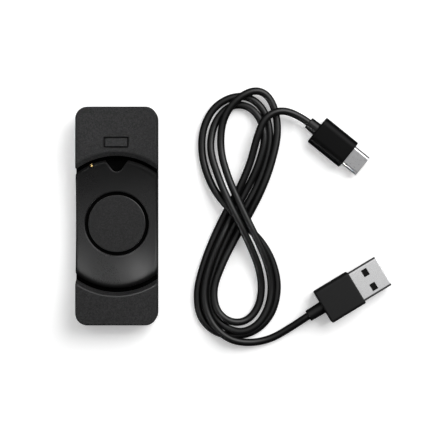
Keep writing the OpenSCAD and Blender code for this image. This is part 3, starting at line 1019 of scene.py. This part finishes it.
    def skirt_ring(self) -> Solid:
        """The housing's lowest band: a wall whose outer bottom edge is round, open in the middle.

        Returns:
            The closed shell.
        """
        insets, ups = quarter(self.skirt_fillet, 4)
        levels = [(self.cover_top, 0.0), *zip(self.skirt + self.skirt_fillet - ups, insets)]
        levels += [(self.skirt, self.wall), (self.cover_top, self.wall)]
        w, l, r = 2 * self.half_w, 2 * self.half_l, self.corner
        return Solid().add_rings([at_height(round_rectangle(w - 2 * i, l - 2 * i, r - i, 12), z)
                                  for z, i in levels], closed=True)

    def socket_cutter(self) -> Solid:
        """The port: a flat-sided round hole with a flared mouth, cut into the end face.

        Returns:
            The solid to take away.
        """
        low, high = box_mm("socket_shell")
        width, height = high[0] - low[0] + 0.2, high[2] - low[2] + 0.2
        depth = [(self.half_l + 1.0, 1.2), (self.half_l + 0.05, 0.25), (self.half_l - 0.15, 0.05),
                 (self.half_l - 0.4, 0.0), (low[1] - 0.2, 0.0)]
        rings = []
        for y, flare in depth:
            loop = round_rectangle(width + 2 * flare, height + 2 * flare, height / 2 + flare, 10)
            height_up = loop[:, 1] + middle_mm("socket_shell")[2]
            rings.append(np.column_stack([loop[:, 0], np.full(len(loop), y), height_up]))
        return Solid().add_rings(rings)

    def window_cutter(self) -> Solid:
        """The window's recess: a round-cornered pocket whose mouth is slightly flared.

        Returns:
            The solid to take away.
        """
        cy = middle_mm("status_window")[1]
        w, l = (side + 2 * self.window_gap for side in self.window_size)
        levels = [(self.top + 1, 1.12), (self.top, 0.12), (self.top - 0.12, 0.0), (self.top - 1.4, 0.0)]
        return Solid().add_rings([at_height(round_rectangle(w + 2 * f, l + 2 * f, 0.3 + f, 4) + [0, cy], z)
                                  for z, f in levels])

    def lip_pin_cutter(self) -> Solid:
        """A round hole through the ledge's wall for the lying contact's barrel.

        Returns:
            The solid to take away.
        """
        low, high = box_mm("lip_pin_barrel")
        cx, _, cz = middle_mm("lip_pin_barrel")
        tube = lathe([(self.barrel_r, 0.0), (self.barrel_r, high[1] - low[1] + 2.0)], 32)
        return tube.moved(Matrix.Translation((cx, low[1] - 1.4, cz)) @ Matrix.Rotation(-math.pi / 2, 4, "X"))

    def make_housing(self) -> None:
        """The housing: two ledges, the floor under the dish, the groove's floor and the skirt."""
        slot = "black_ledge_plastic"
        slab = self.seat_loop(self.seat_r, self.half_w) + [0, self.seat_y]
        floor = Solid().add_rings([at_height(slab, self.cover_top), at_height(slab, self.pocket_h)])
        floor.add_rings(self.groove_strip(1)).add_rings(self.groove_strip(-1))
        parts = [
            self.shop.piece("dock_housing", self.ledge(End.SOCKET, LIP_PROFILE), "dock", slot,
                            ["upper_housing"],
                            [self.window_cutter(), self.socket_cutter(), self.lip_pin_cutter()]),
            self.shop.piece("plain_ledge", self.ledge(End.PLAIN, STEP_PROFILE), "dock", slot),
            self.shop.piece("seat_floor", floor, "dock", slot),
            self.shop.piece("skirt", self.skirt_ring(), "dock", slot),
        ]
        for part in parts:
            # Painted shade on the groove's floor and its fillets.
            self.shop.paint(part, self.shop.groove_shade_material, self.pocket_h - 0.1, self.groove_h + 0.1)
            self.shop.paint(part, self.shop.edge_material, self.top - 0.14, self.top - 0.005, 0.99, 0.93)
        self.shop.join(parts)

    # ---- dish

    def bowl(self, x: Array, y: Array) -> Array:
        """Height of the dish at plan points about the seat's centre.

        The bowl is a sphere through its centre height and its rim. Near an edge at distance e the height
        drops by r - sqrt(r^2 - (r - e)^2), the fillet of radius r, for the sides, the rim and the notch.

        Args:
            x: across the dock.
            y: along the dock.

        Returns:
            The heights.
        """
        r = np.hypot(x, y)
        height = self.bowl_h + self.bowl_r - np.sqrt(self.bowl_r**2 - r**2)
        edges = [(self.half_w - np.abs(x), self.side_fillet), (self.dish_r - r, self.rim_fillet),
                 (self.notch_distance(x, y), self.notch_fillet),
                 (r - self.pad_r - self.pad_gap, self.recess_fillet)]
        for distance, radius in edges:
            inward = np.clip(radius - distance, 0, radius)
            height -= radius - np.sqrt(radius**2 - inward**2)
        return height

    def notch_distance(self, x: Array, y: Array) -> Array:
        """How far plan points lie outside the notch, a round end whose straight sides lean outwards.

        With u along a side and v square to it, both from the round end's middle, the distance is v where
        u > 0 and the plain distance to the middle elsewhere, less the end's radius.

        Args:
            x: across the dock, from the seat's centre.
            y: along the dock, from the seat's centre.

        Returns:
            The distances.
        """
        y = y - (self.notch_y - self.seat_y)
        sin, cos = math.sin(self.notch_lean), math.cos(self.notch_lean)
        along, square = np.abs(x) * sin + y * cos, np.abs(x) * cos - y * sin
        return np.where(along > 0, square, np.hypot(x, y)) - self.notch_r

    def dish_loop(self, inset: float) -> Array:
        """Plan outline of the dish, drawn in by inset, anticlockwise from the right side's lower end.

        The right side, half the rim, the notch, the other half, the left side and the plain end's rim
        follow each other. Measured from +Y, the rim meets the notch's side at lean + asin((n - c sin lean)
        / R), for a rim of radius R and a round end of radius n whose middle lies c from the seat's centre.

        Args:
            inset: how far every edge is drawn in.

        Returns:
            The loop's points, of one length for every inset.
        """
        half, big, small = self.half_w - inset, self.dish_r - inset, self.notch_r + min(inset, 0.9)
        apart = self.notch_y - self.seat_y
        lean = math.acos(half / big)
        mouth = self.notch_lean + math.asin((small - apart * math.sin(self.notch_lean)) / big)
        reach = half * math.tan(lean)
        side = np.column_stack([np.full(40, half), np.linspace(-reach, reach, 40)])
        rim = arc((0.0, 0.0), big, lean, math.pi / 2 - mouth, 40)[1:]
        cut = arc((0.0, apart), small, -self.notch_lean, self.notch_lean - np.pi, 24)
        slope = rim[-1] + (cut[0] - rim[-1]) * np.linspace(0, 1, 9)[1:-1, None]
        back = arc((0.0, 0.0), big, np.pi + lean, 2 * np.pi - lean, 80)[1:-1]
        return np.vstack([side, rim, slope, cut, slope[::-1] * [-1, 1], rim[::-1] * [-1, 1],
                          side[::-1] * [-1, 1], back])

    def on_bowl(self, loop: Array) -> Array:
        """A plan loop laid on the bowl, as points in space."""
        return np.column_stack([loop, self.bowl(loop[:, 0], loop[:, 1])])

    def make_dish(self) -> None:
        """The satin dish: its walls, the fillets round every edge, the bowl and the pad's recess."""
        insets = self.edge_band * (1 - np.cos(np.linspace(0, np.pi / 2, 12)))
        loops = [self.dish_loop(float(inset)) for inset in insets]
        rings = [at_height(self.dish_loop(0.12), self.pocket_h + self.hidden),
                 at_height(loops[0], self.pocket_h + 0.12)]
        last = loops[-1]
        recess, edge = self.pad_r + self.pad_gap, self.recess_fillet
        angle = np.arctan2(last[:, 1], last[:, 0])
        inner = np.column_stack([np.cos(angle), np.sin(angle)]) * (recess + edge)
        loops += [last + (inner - last) * share for share in np.linspace(0, 1, 26)[1:]]
        loops += [inner * ((recess + back) / (recess + edge)) for back in (0.22, 0.15, 0.08, 0.02, 0.0)]
        rings += [self.on_bowl(loop) for loop in loops]
        floor = inner * (recess / (recess + edge))
        rings.append(at_height(floor, self.pad_low + 0.15))
        rings.append(at_height(floor * ((recess - 0.15) / recess), self.pad_low))
        solid = Solid().add_rings(rings).moved(Matrix.Translation((0, self.seat_y, 0)))
        hole = lathe([(self.barrel_r, self.pocket_h - 1.1), (self.barrel_r, 8.5), (self.pin_bore_r, 8.5),
                      (self.pin_bore_r, 9.5), (self.pin_bore_r + 0.04, 9.9), (self.barrel_r, 10.6)],
                     32, tuple(middle_mm("rim_pin")[:2]))
        dish = self.shop.piece("dish", solid, "dock", "black_satin_plastic", ["cradle_insert"], [hole],
                               crease=50.0)
        # Painted shade on the floor of the ring round the pad.
        self.shop.paint(dish, self.shop.groove_shade_material, self.pad_low - 0.1, self.pad_low + 0.2)

    def make_pad(self) -> None:
        """The flat centre pad with a small round edge."""
        fillet = self.pad_fillet
        edge = [(self.pad_r - i, self.pad_top - fillet + u) for i, u in zip(*quarter(fillet, 5))]
        solid = lathe([(self.pad_r, self.pad_low - 0.2)] + edge, 144, (0.0, self.seat_y))
        pad = self.shop.piece("pad", solid, "dock", "black_pad_plastic", ["centre_pad"])
        self.shop.paint(pad, self.shop.edge_material, self.pad_top - 0.3, self.pad_top, 0.99)

    def make_window(self) -> None:
        """The flush indicator window on its hidden flange."""
        low, high = box_mm("status_window")
        size, middle = high - low, (0.0, middle_mm("status_window")[1])
        flange = round_block(size[0], size[1], low[2], low[2] + 0.58, 0.4, 0.05, 0.05, middle)
        flange.add(round_block(*self.window_size, low[2] + 0.6, high[2] - 0.02, 0.25, 0.16, 0.02, middle))
        self.shop.piece("window", flange, "dock", "smoked_window", ["status_window"])

    # ---- underside

    def make_base(self) -> None:
        """The base cover with its screw recesses, and the rubber foot."""
        low, high = box_mm("base_cover")
        x, y, _ = box_mm("cover_screws")[1] - self.screw_head_r
        recess = [(self.screw_mouth_r, self.skirt - 0.2), (self.screw_recess_r, self.skirt + 0.1),
                  (self.screw_recess_r, self.skirt + 0.9)]
        holes = [lathe(recess, 40, (sx * x, sy * y)) for sx in (-1, 1) for sy in (-1, 1)]
        plate = round_block(high[0] - low[0], high[1] - low[1], low[2], self.cover_top,
                            self.corner - self.wall - 0.1, 0.1, 0.2)
        self.shop.piece("base_plate", plate, "dock", "black_ledge_plastic", ["base_cover"], holes)
        low, high = box_mm("foot_pad")
        foot = round_block(high[0] - low[0], high[1] - low[1], low[2], high[2], 3.0, 0.05, 0.2)
        self.shop.piece("foot", foot, "dock", "foot_rubber", ["foot_pad"])

    # ---- contacts

    def plunger(self, length: float) -> Solid:
        """A contact plunger along +Z, its round tip's top at 0 and its foot length below.

        The tip is a quarter circle turned about the axis.
        """
        r = self.pin_r
        return lathe([(r, -length)] + [(max(r - i, 0.01), -r + u) for i, u in zip(*quarter(r, 8))], 32)

    def add_spring(self, name: str, node: str, foot: Matrix, length: float) -> None:
        """A coil spring that fills the room behind a plunger.

        Args:
            name: the piece's name.
            node: the CAD spring that it stands for.
            foot: the spring's fixed end, its +Z towards the plunger.
            length: its length at rest.
        """
        solid = coil(self.spring_r, self.spring_wire_r, length, self.spring_turns).moved(foot)
        piece = self.shop.piece(name, solid, "dock", "spring_steel", [node])
        1 - self.press / length
        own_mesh(piece)

    def make_contacts(self) -> None:
        """The upright gold contact at the rim and the lying one under the lip, each on its spring."""
        low, high = box_mm("rim_pin")
        x, y, _ = middle_mm("rim_pin")
        upright = self.plunger(high[2] - low[2]).moved(Matrix.Translation((x, y, high[2])))
        self.shop.piece("rim_contact_tip", upright, "rim_contact", "contact_gold", ["rim_pin"])
        base = box_mm("rim_pin_spring")[0][2]
        self.add_spring("rim_contact_spring", "rim_pin_spring",
                        Matrix.Translation((x, y, base)), low[2] - base - self.spring_gap)
        low, high = box_mm("lip_pin")
        x, _, z = middle_mm("lip_pin")
        turn = Matrix.Rotation(math.pi / 2, 4, "X")
        lying = self.plunger(high[1] - low[1]).moved(Matrix.Translation((x, low[1], z)) @ turn)
        self.shop.piece("lip_contact_tip", lying, "lip_contact", "contact_gold", ["lip_pin"])
        back = box_mm("lip_pin_spring")[1][1]
        self.add_spring("lip_contact_spring", "lip_pin_spring",
                        Matrix.Translation((x, back, z)) @ turn, back - high[1] - self.spring_gap)

    def make(self) -> None:
        """Builds every piece of the dock."""
        self.make_housing()
        self.make_dish()
        self.make_pad()
        self.make_window()
        self.make_base()
        self.make_contacts()


# ---------------------------------------------------------------- lead


@dataclass
class Plug:
    """A plug of the lead: where its relief begins, the way it points, and its main sizes.

    The local frame has +X along the plug from the relief's back end, and +Z up. relief holds its length and
    its radii at the back and the front; grip and shell_size hold width, height and length; the edges are
    radii. The USB-C plug's sizes are the ones given here.
    """

    shop: Workshop
    name: str
    start: Triple
    turn: float
    relief: Triple
    grip: Triple
    shell_size: Triple = (8.3, 2.5, 6.7)
    grip_edge: float = 3.1
    grip_back: float = 0.45
    grip_front: float = 0.45
    shell_edge: float = 1.25
    shell_wall: float = 0.28
    shell_root: float = 3.0
    relief_fillet: float = 0.35

    @property
    def place(self) -> Matrix:
        """Moves the plug's local frame into the dock's frame."""
        return Matrix.Translation(self.start) @ Matrix.Rotation(math.radians(self.turn), 4, "Z")

    def section(self, x: float, width: float, height: float, radius: float) -> Array:
        """A round-cornered section across the plug at distance x."""
        loop = round_rectangle(width, height, min(radius, height / 2 - 1e-3, width / 2 - 1e-3))
        return np.column_stack([np.full(len(loop), x), loop])

    def block(self, start: float, end: float) -> Solid:
        """The grip's body along X, whose long edges and both ends are round.

        Each ring is the section drawn in by the end fillets.

        Args:
            start: where it begins.
            end: where it ends.

        Returns:
            The solid.
        """
        width, height, _ = self.grip
        back_in, back_up = quarter(self.grip_back)
        front_in, front_up = quarter(self.grip_front)
        first, last = start + self.grip_back, end - self.grip_front
        middle = np.linspace(first, last, 9)[1:-1]
        xs = np.concatenate([first - back_up[::-1], middle, last + front_up])
        insets = np.concatenate([back_in[::-1], np.zeros(len(middle)), front_in])
        return Solid().add_rings([self.section(x, width - 2 * i, height - 2 * i, self.grip_edge - i)
                                  for x, i in zip(xs, insets)])

    def shell(self, start: float, end: float) -> Solid:
        """A thin tube of sheet metal whose open front edge is round.

        The rings go out along the outside, round the lip and back along the inside.

        Args:
            start: where it begins.
            end: where its front edge is.

        Returns:
            The solid.
        """
        width, height, _ = self.shell_size
        wall, lip = self.shell_wall, self.shell_wall / 2
        bend = [(end - lip + lip * math.sin(a), lip - lip * math.cos(a)) for a in np.linspace(0, np.pi, 7)]
        outline = [(start, 0.0), (end - lip - 0.1, 0.0), *bend, (end - lip - 0.1, wall), (start, wall)]
        rings = [self.section(x, width - 2 * i, height - 2 * i, max(self.shell_edge - i, 0.05))
                 for x, i in outline]
        return Solid().add_rings(rings, closed=True)

    def cutters(self) -> list[Solid]:
        """The solids taken away from the shell: none."""
        return []

    def make_relief(self, material: bpy.types.Material) -> None:
        """The short sleeve where the cord enters: a cone with a round back edge, and a collar at the grip.

        Args:
            material: the sleeve's material.
        """
        length, back_r, front_r = self.relief
        inset, up = quarter(self.relief_fillet, 5)
        profile = [(back_r - i, self.relief_fillet - u) for i, u in zip(inset[::-1], up[::-1])]
        profile += [(front_r, length - 0.4), (front_r + 0.12, length - 0.1), (front_r + 0.3, length + 0.3)]
        solid = lathe(profile, 64).moved(self.place @ Matrix.Rotation(math.pi / 2, 4, "Y"))
        self.shop.piece(f"{self.name}_relief_sleeve", solid, "lead", "cord_pvc", [f"{self.name}_relief"],
                        material=material)

    def make(self, relief_material: bpy.types.Material) -> None:
        """Builds the relief, the grip and the shell, whose root reaches back into the grip.

        Args:
            relief_material: the relief's material.
        """
        self.make_relief(relief_material)
        start, front = self.relief[0], self.relief[0] + self.grip[2]
        shell = self.shell(front - self.shell_root, front + self.shell_size[2])
        rows = [("grip", "body", "plastic", self.block(start, front), []),
                ("shell", "tube", "steel", shell, self.cutters())]
        for part, form, stuff, solid, cutters in rows:
            self.shop.piece(f"{self.name}_{part}_{form}", solid.moved(self.place), "lead",
                            f"{self.name[-1]}_{part}_{stuff}", [f"{self.name}_{part}"], cutters)


@dataclass
class LargePlug(Plug):
    """The USB-A plug: a square grip, and a folded nickel shell with latch windows."""

    shell_size: Triple = (12.0, 4.5, 11.55)
    grip_edge: float = 1.1
    grip_back: float = 0.6
    shell_edge: float = 0.85
    shell_wall: float = 0.3
    latch: tuple[float, float, float, float] = (2.25, 2.8, 3.0, 5.6)

    def cutters(self) -> list[Solid]:
        """Two square holes through both broad faces of the shell.

        Returns:
            The solids to take away.
        """
        along, across, offset, middle = self.latch
        x = self.relief[0] + self.grip[2] + middle
        return [round_block(along, across, -5.0, 5.0, 0.12, 0.01, 0.01, (x, side * offset)).moved(self.place)
                for side in (-1, 1)]


# The route of the cord from the USB-C relief to the USB-A relief, as the frame's own source has it.
CORD_ROUTE = [
    (70.75, 34.6, 3.25), (66, 37.5, 3.9), (60.5, 39, 5), (55, 36.5, 5.8), (52, 30, 5.3),
    (49.2, 20, 3.8), (45, 10, 3), (40, 1, 1.8), (35.3, -9, 1.3), (31.6, -19, 1.3),
    (29.5, -29, 1.3), (31, -38, 1.3), (36, -43, 1.3), (43, -44.6, 1.3), (50, -43.2, 1.3),
    (56, -38, 1.3), (59.3, -27.5, 1.3), (57, -16, 2), (53.2, -9.5, 3.3), (48.5, -4.5, 4.4),
    (42, 2, 4.9), (36.3, 9, 3.6), (33, 16, 2), (31.2, 24, 1.3), (32, 33, 1.3), (35.6, 39.9, 1.3),
    (41.8, 44, 1.3), (48, 44.4, 1.3), (53, 41, 1.3), (56.4, 32, 1.3), (55, 20, 1.3),
    (51.2, 10, 1.3), (46, 1, 1.3), (40.2, -9, 1.3), (36.2, -19, 1.3), (34, -29, 1.3),
    (35.5, -36.5, 1.6), (40, -41.3, 2.8), (46, -43, 3.8), (51.5, -40.5, 3.9), (55.5, -34.5, 3.5),
    (57, -27, 3.3), (56, -19.5, 4.2), (53, -11.5, 5.8), (49, -3.5, 7), (45, 5, 6.7),
    (41.3, 13.5, 5.2), (38.2, 26, 3.4), (40, 37.5, 3.8), (44.5, 43.3, 4.4), (48, 45.6, 4.2),
    (51.6, 46.6, 3.7), (55, 45.3, 3.1), (57.5, 41.6, 2.6), (59.3, 33, 2.5), (57.1, 20, 3),
    (53.5, 10, 3.1), (49, 1, 2.2), (43.7, -8.2, 2), (38.6, -18.4, 3.1), (35.6, -28.5, 3.6),
    (37.3, -35.8, 3.8), (41.8, -39.2, 3.8), (47.5, -39, 2.2), (51.8, -34.5, 1.4),
    (53.4, -27.5, 1.6), (52.5, -20, 3), (49.5, -12, 5), (46, -4.5, 6.9), (41.3, 5, 7.6),
    (37.5, 14, 5.6), (34.4, 27, 2.4), (37.8, 37.4, 1.3), (42.5, 41.2, 1.3), (48.3, 40.8, 1.8),
    (52.5, 36.6, 2.7), (54.5, 30, 3.2), (52.5, 20, 2.7), (48, 10, 1.6), (42.9, 1, 1.8),
    (37.9, -9, 3.5), (33.9, -19, 3.6), (32, -29, 3.7), (33.4, -36.5, 3.8), (37, -42.2, 4),
    (42, -45.8, 3.8), (49, -47, 2.4), (56.5, -45.7, 1.4), (64, -41.5, 2.2), (70.6, -37, 4),
]


@dataclass
class Cord:
    """The cord: a round tube along its route, three laps of a figure of eight."""

    shop: Workshop
    diameter: float = 2.75
    sides: int = 20
    step: float = 1.1
    rest: float = 1.375

    def centreline(self) -> Array:
        """A smooth line through the route's points, evenly spaced.

        Each span is a cubic whose end slopes are the chord-weighted means of its neighbours' slopes; the
        line is then resampled at equal steps and eased six times with the weights 1, 2, 1.

        Returns:
            Points in millimetres.
        """
        route = np.array(CORD_ROUTE, float)
        chord = np.linalg.norm(np.diff(route, axis=0), axis=1)[:, None]
        slope = np.diff(route, axis=0) / chord
        inner = (slope[:-1] * chord[1:] + slope[1:] * chord[:-1]) / (chord[:-1] + chord[1:])
        first, final = math.radians(SMALL_TURN), math.radians(LARGE_TURN)
        slopes = np.vstack([[-math.cos(first), -math.sin(first), 0.0], inner,
                            [math.cos(final), math.sin(final), 0.0]])
        u = np.linspace(0, 1, 16, endpoint=False)[None, :, None]
        p, q = route[:-1, None], route[1:, None]
        m, n = (slopes[:-1] * chord)[:, None], (slopes[1:] * chord)[:, None]
        line = ((2 * u**3 - 3 * u**2 + 1) * p + (u**3 - 2 * u**2 + u) * m
                + (3 * u**2 - 2 * u**3) * q + (u**3 - u**2) * n).reshape(-1, 3)
        line = np.vstack([line, route[-1]])
        along = np.concatenate([[0], np.cumsum(np.linalg.norm(np.diff(line, axis=0), axis=1))])
        even = np.linspace(0, along[-1], int(along[-1] / self.step) + 1)
        points = np.column_stack([np.interp(even, along, line[:, k]) for k in range(3)])
        for _ in range(6):
            points[2:-2] = (points[1:-3] + 2 * points[2:-2] + points[3:-1]) / 4
        points[:, 2] = np.maximum(points[:, 2], self.rest)
        return points

    def tube(self, line: Array) -> tuple[Solid, Array]:
        """A round tube along a line.

        Each ring is r (side cos a + up sin a) about its point, where side is the level vector square to
        the line's direction and up completes the frame.

        Args:
            line: the centreline.

        Returns:
            The solid, and each point's (metres along, metres round).
        """
        along = np.gradient(line, axis=0)
        along /= np.linalg.norm(along, axis=1)[:, None]
        side = np.cross(along, [0.0, 0.0, 1.0])
        side /= np.linalg.norm(side, axis=1)[:, None]
        up = np.cross(side, along)
        a = np.arange(self.sides) * 2 * np.pi / self.sides
        spokes = side[:, None] * np.cos(a)[None, :, None] + up[:, None] * np.sin(a)[None, :, None]
        rings = line[:, None] + spokes * self.diameter / 2
        length = np.concatenate([[0], np.cumsum(np.linalg.norm(np.diff(line, axis=0), axis=1))]) * MM
        round_it = a * self.diameter / 2 * MM
        uv = np.stack(np.broadcast_arrays(length[:, None], round_it[None, :]), -1).reshape(-1, 2)
        return Solid().add_rings(list(rings)), uv

    def make(self, ends: Sequence[bpy.types.Object]) -> None:
        """Args:
            ends: the pieces of both plugs; not used.
        """
        line = self.centreline()
        solid, uv = self.tube(line)
        piece = self.shop.piece("cord_jacket", solid, "lead", "cord_pvc", ["cord"], crease=60.0)
        layer = piece.data.uv_layers.new(name="run")
        corner = np.zeros(len(piece.data.loops), np.int64)
        piece.data.loops.foreach_get("vertex_index", corner)
        layer.data.foreach_set("uv", uv[corner].astype(np.float32).ravel())


# ---------------------------------------------------------------- stage


@dataclass(frozen=True)
class Lamp:
    """A lamp that faces its aim: a spotlight where it has a cone, else a square area light.

    The way from the aim to the lamp is its direction. Lengths are metres and the power is watts. The size
    is an area light's side or a spotlight's own radius; the cone is half its width in degrees.
    """

    name: str
    aim: Triple
    direction: Triple
    distance: float
    size: float
    power: float
    cone: float = 0.0

    def hang(self) -> None:
        """Makes the lamp and stands it at its distance from its aim, facing it."""
        data = bpy.data.lights.new(self.name, "SPOT" if self.cone else "AREA")
        data.energy = self.power
        if self.cone:
            data.spot_size = math.radians(2 * self.cone)
            data.spot_blend = 0.5
            data.shadow_soft_size = self.size
        else:
            data.shape = "SQUARE"
            data.size = self.size
        lamp = bpy.data.objects.new(self.name, data)
        way = Vector(self.direction).normalized()
        lamp.location = Vector(self.aim) + way * self.distance
        lamp.rotation_mode = "QUATERNION"
        lamp.rotation_quaternion = way.to_track_quat("Z", "Y")
        lamp.visible_camera = False
        bpy.context.scene.collection.objects.link(lamp)


@dataclass
class Studio:
    """The floor, the lights and the camera of a straight-down table shot."""

    camera_height: float = 0.5
    camera_x: float = 0.03647
    view_width: float = 0.1612
    sensor: float = 36.0
    floor_half: float = 3.0
    floor_glow: float = 0.28
    room_grey: float = 0.045
    backdrop_grey: float = 0.95

    def make_camera(self) -> None:
        """A camera that looks straight down; the lens makes the table's visible width view_width."""
        data = bpy.data.cameras.new("camera")
        data.sensor_width = self.sensor
        data.lens = self.sensor * self.camera_height / self.view_width
        data.clip_start, data.clip_end = 0.01, 20.0
        camera = bpy.data.objects.new("camera", data)
        camera.location = (self.camera_x, 0.0, self.camera_height)
        bpy.context.scene.collection.objects.link(camera)
        bpy.context.scene.camera = camera

    def make_floor(self) -> None:
        """A pale table top that glows a little. The pieces neither mirror it nor take light from it."""
        h = self.floor_half
        mesh = bpy.data.meshes.new("table_top")
        mesh.from_pydata([(-h, -h, 0), (h, -h, 0), (h, h, 0), (-h, h, 0)], [], [(0, 1, 2, 3)])
        floor = bpy.data.objects.new("table_top", mesh)
        bpy.context.scene.collection.objects.link(floor)
        g = Graph("table_top")
        mesh.materials.append(g.principled(Base_Color=(0.9, 0.9, 0.9), Roughness=0.9, Specular_IOR_Level=0.0,
                                           Emission_Color=(1.0, 1.0, 1.0), Emission_Strength=self.floor_glow))
        floor.visible_glossy = False
        floor.visible_diffuse = False

    def make_lights(self) -> None:
        """A wide box overhead, a key light from the upper right, and small ones for sheen and edges."""
        middle, dish = (self.camera_x, 0.0, 0.0), (-0.001, -0.017, 0.0)
        grip = tuple(middle_mm("usb_c_grip") * MM)
        lamps = [
            Lamp("overhead_box", middle, (-0.12, 0.42, 1.0), 0.95, 1.4, 4.6),
            Lamp("key", middle, (0.84, 0.78, 1.1), 1.3, 0.95, 17.5),
            Lamp("low_left", middle, (-0.8, -0.35, 0.55), 1.0, 0.3, 0.9),
            Lamp("sheen_left", dish, (-0.25, 0.345, 0.905), 0.5, 0.03, 1.15, 3.7),
            Lamp("sheen_right", dish, (0.24, 0.32, 0.915), 0.5, 0.02, 0.3, 3.6),
            Lamp("edge_light", (0.0, 0.0, 0.01), (0.5, -0.55, 0.5), 0.5, 0.02, 1.6, 3.4),
            Lamp("ledge_light", (-0.005, 0.033, 0.011), (-0.25, 0.45, 0.9), 0.5, 0.02, 3.4, 2.2),
            Lamp("small_plug_rim", grip, (-0.63, -0.78, 0.42), 0.5, 0.03, 12.0, 1.9),
        ]
        for lamp in lamps:
            lamp.hang()

    def make_world(self) -> None:
        """A dim room that looks pale where the camera sees it directly."""
        g = Graph("room", "World")
        bpy.context.scene.world = g.close(g.node(
            "MixShader", in0=g.node("LightPath", out="Is Camera Ray"),
            in1=g.node("Background", Color=(self.room_grey,) * 3),
            in2=g.node("Background", Color=(self.backdrop_grey,) * 3)))

    def make(self) -> None:
        """Builds the stage and sets plain colour management."""
        bpy.context.scene.view_settings.view_transform = "Standard"
        self.make_camera()
        self.make_floor()
        self.make_lights()
        self.make_world()


def main() -> None:
    """Builds the stage, the plugs, the cord and the dock, in that order."""
    logging.basicConfig(level=logging.INFO, format="%(message)s")
    Studio().make()
    dresser = Dresser()
    shop = Workshop(dresser)
    dresser.dress_cad_nodes()
    relief_material = RELIEF_FINISH.material()
    small = Plug(shop, "usb_c", CORD_ROUTE[0], SMALL_TURN, (4.1, 2.3, 2.4), (11.4, 6.5, 15.0))
    large = LargePlug(shop, "usb_a", CORD_ROUTE[-1], LARGE_TURN, (6.25, 2.2, 2.3), (13.3, 8.0, 14.4))
    small.make(relief_material)
    large.make(relief_material)
    plugs = [o for o in bpy.context.scene.objects if o.name.startswith("usb_") and not o.hide_render]
    Cord(shop).make(plugs)
    Dock(shop).make()


if __name__ == "__main__":
    main()
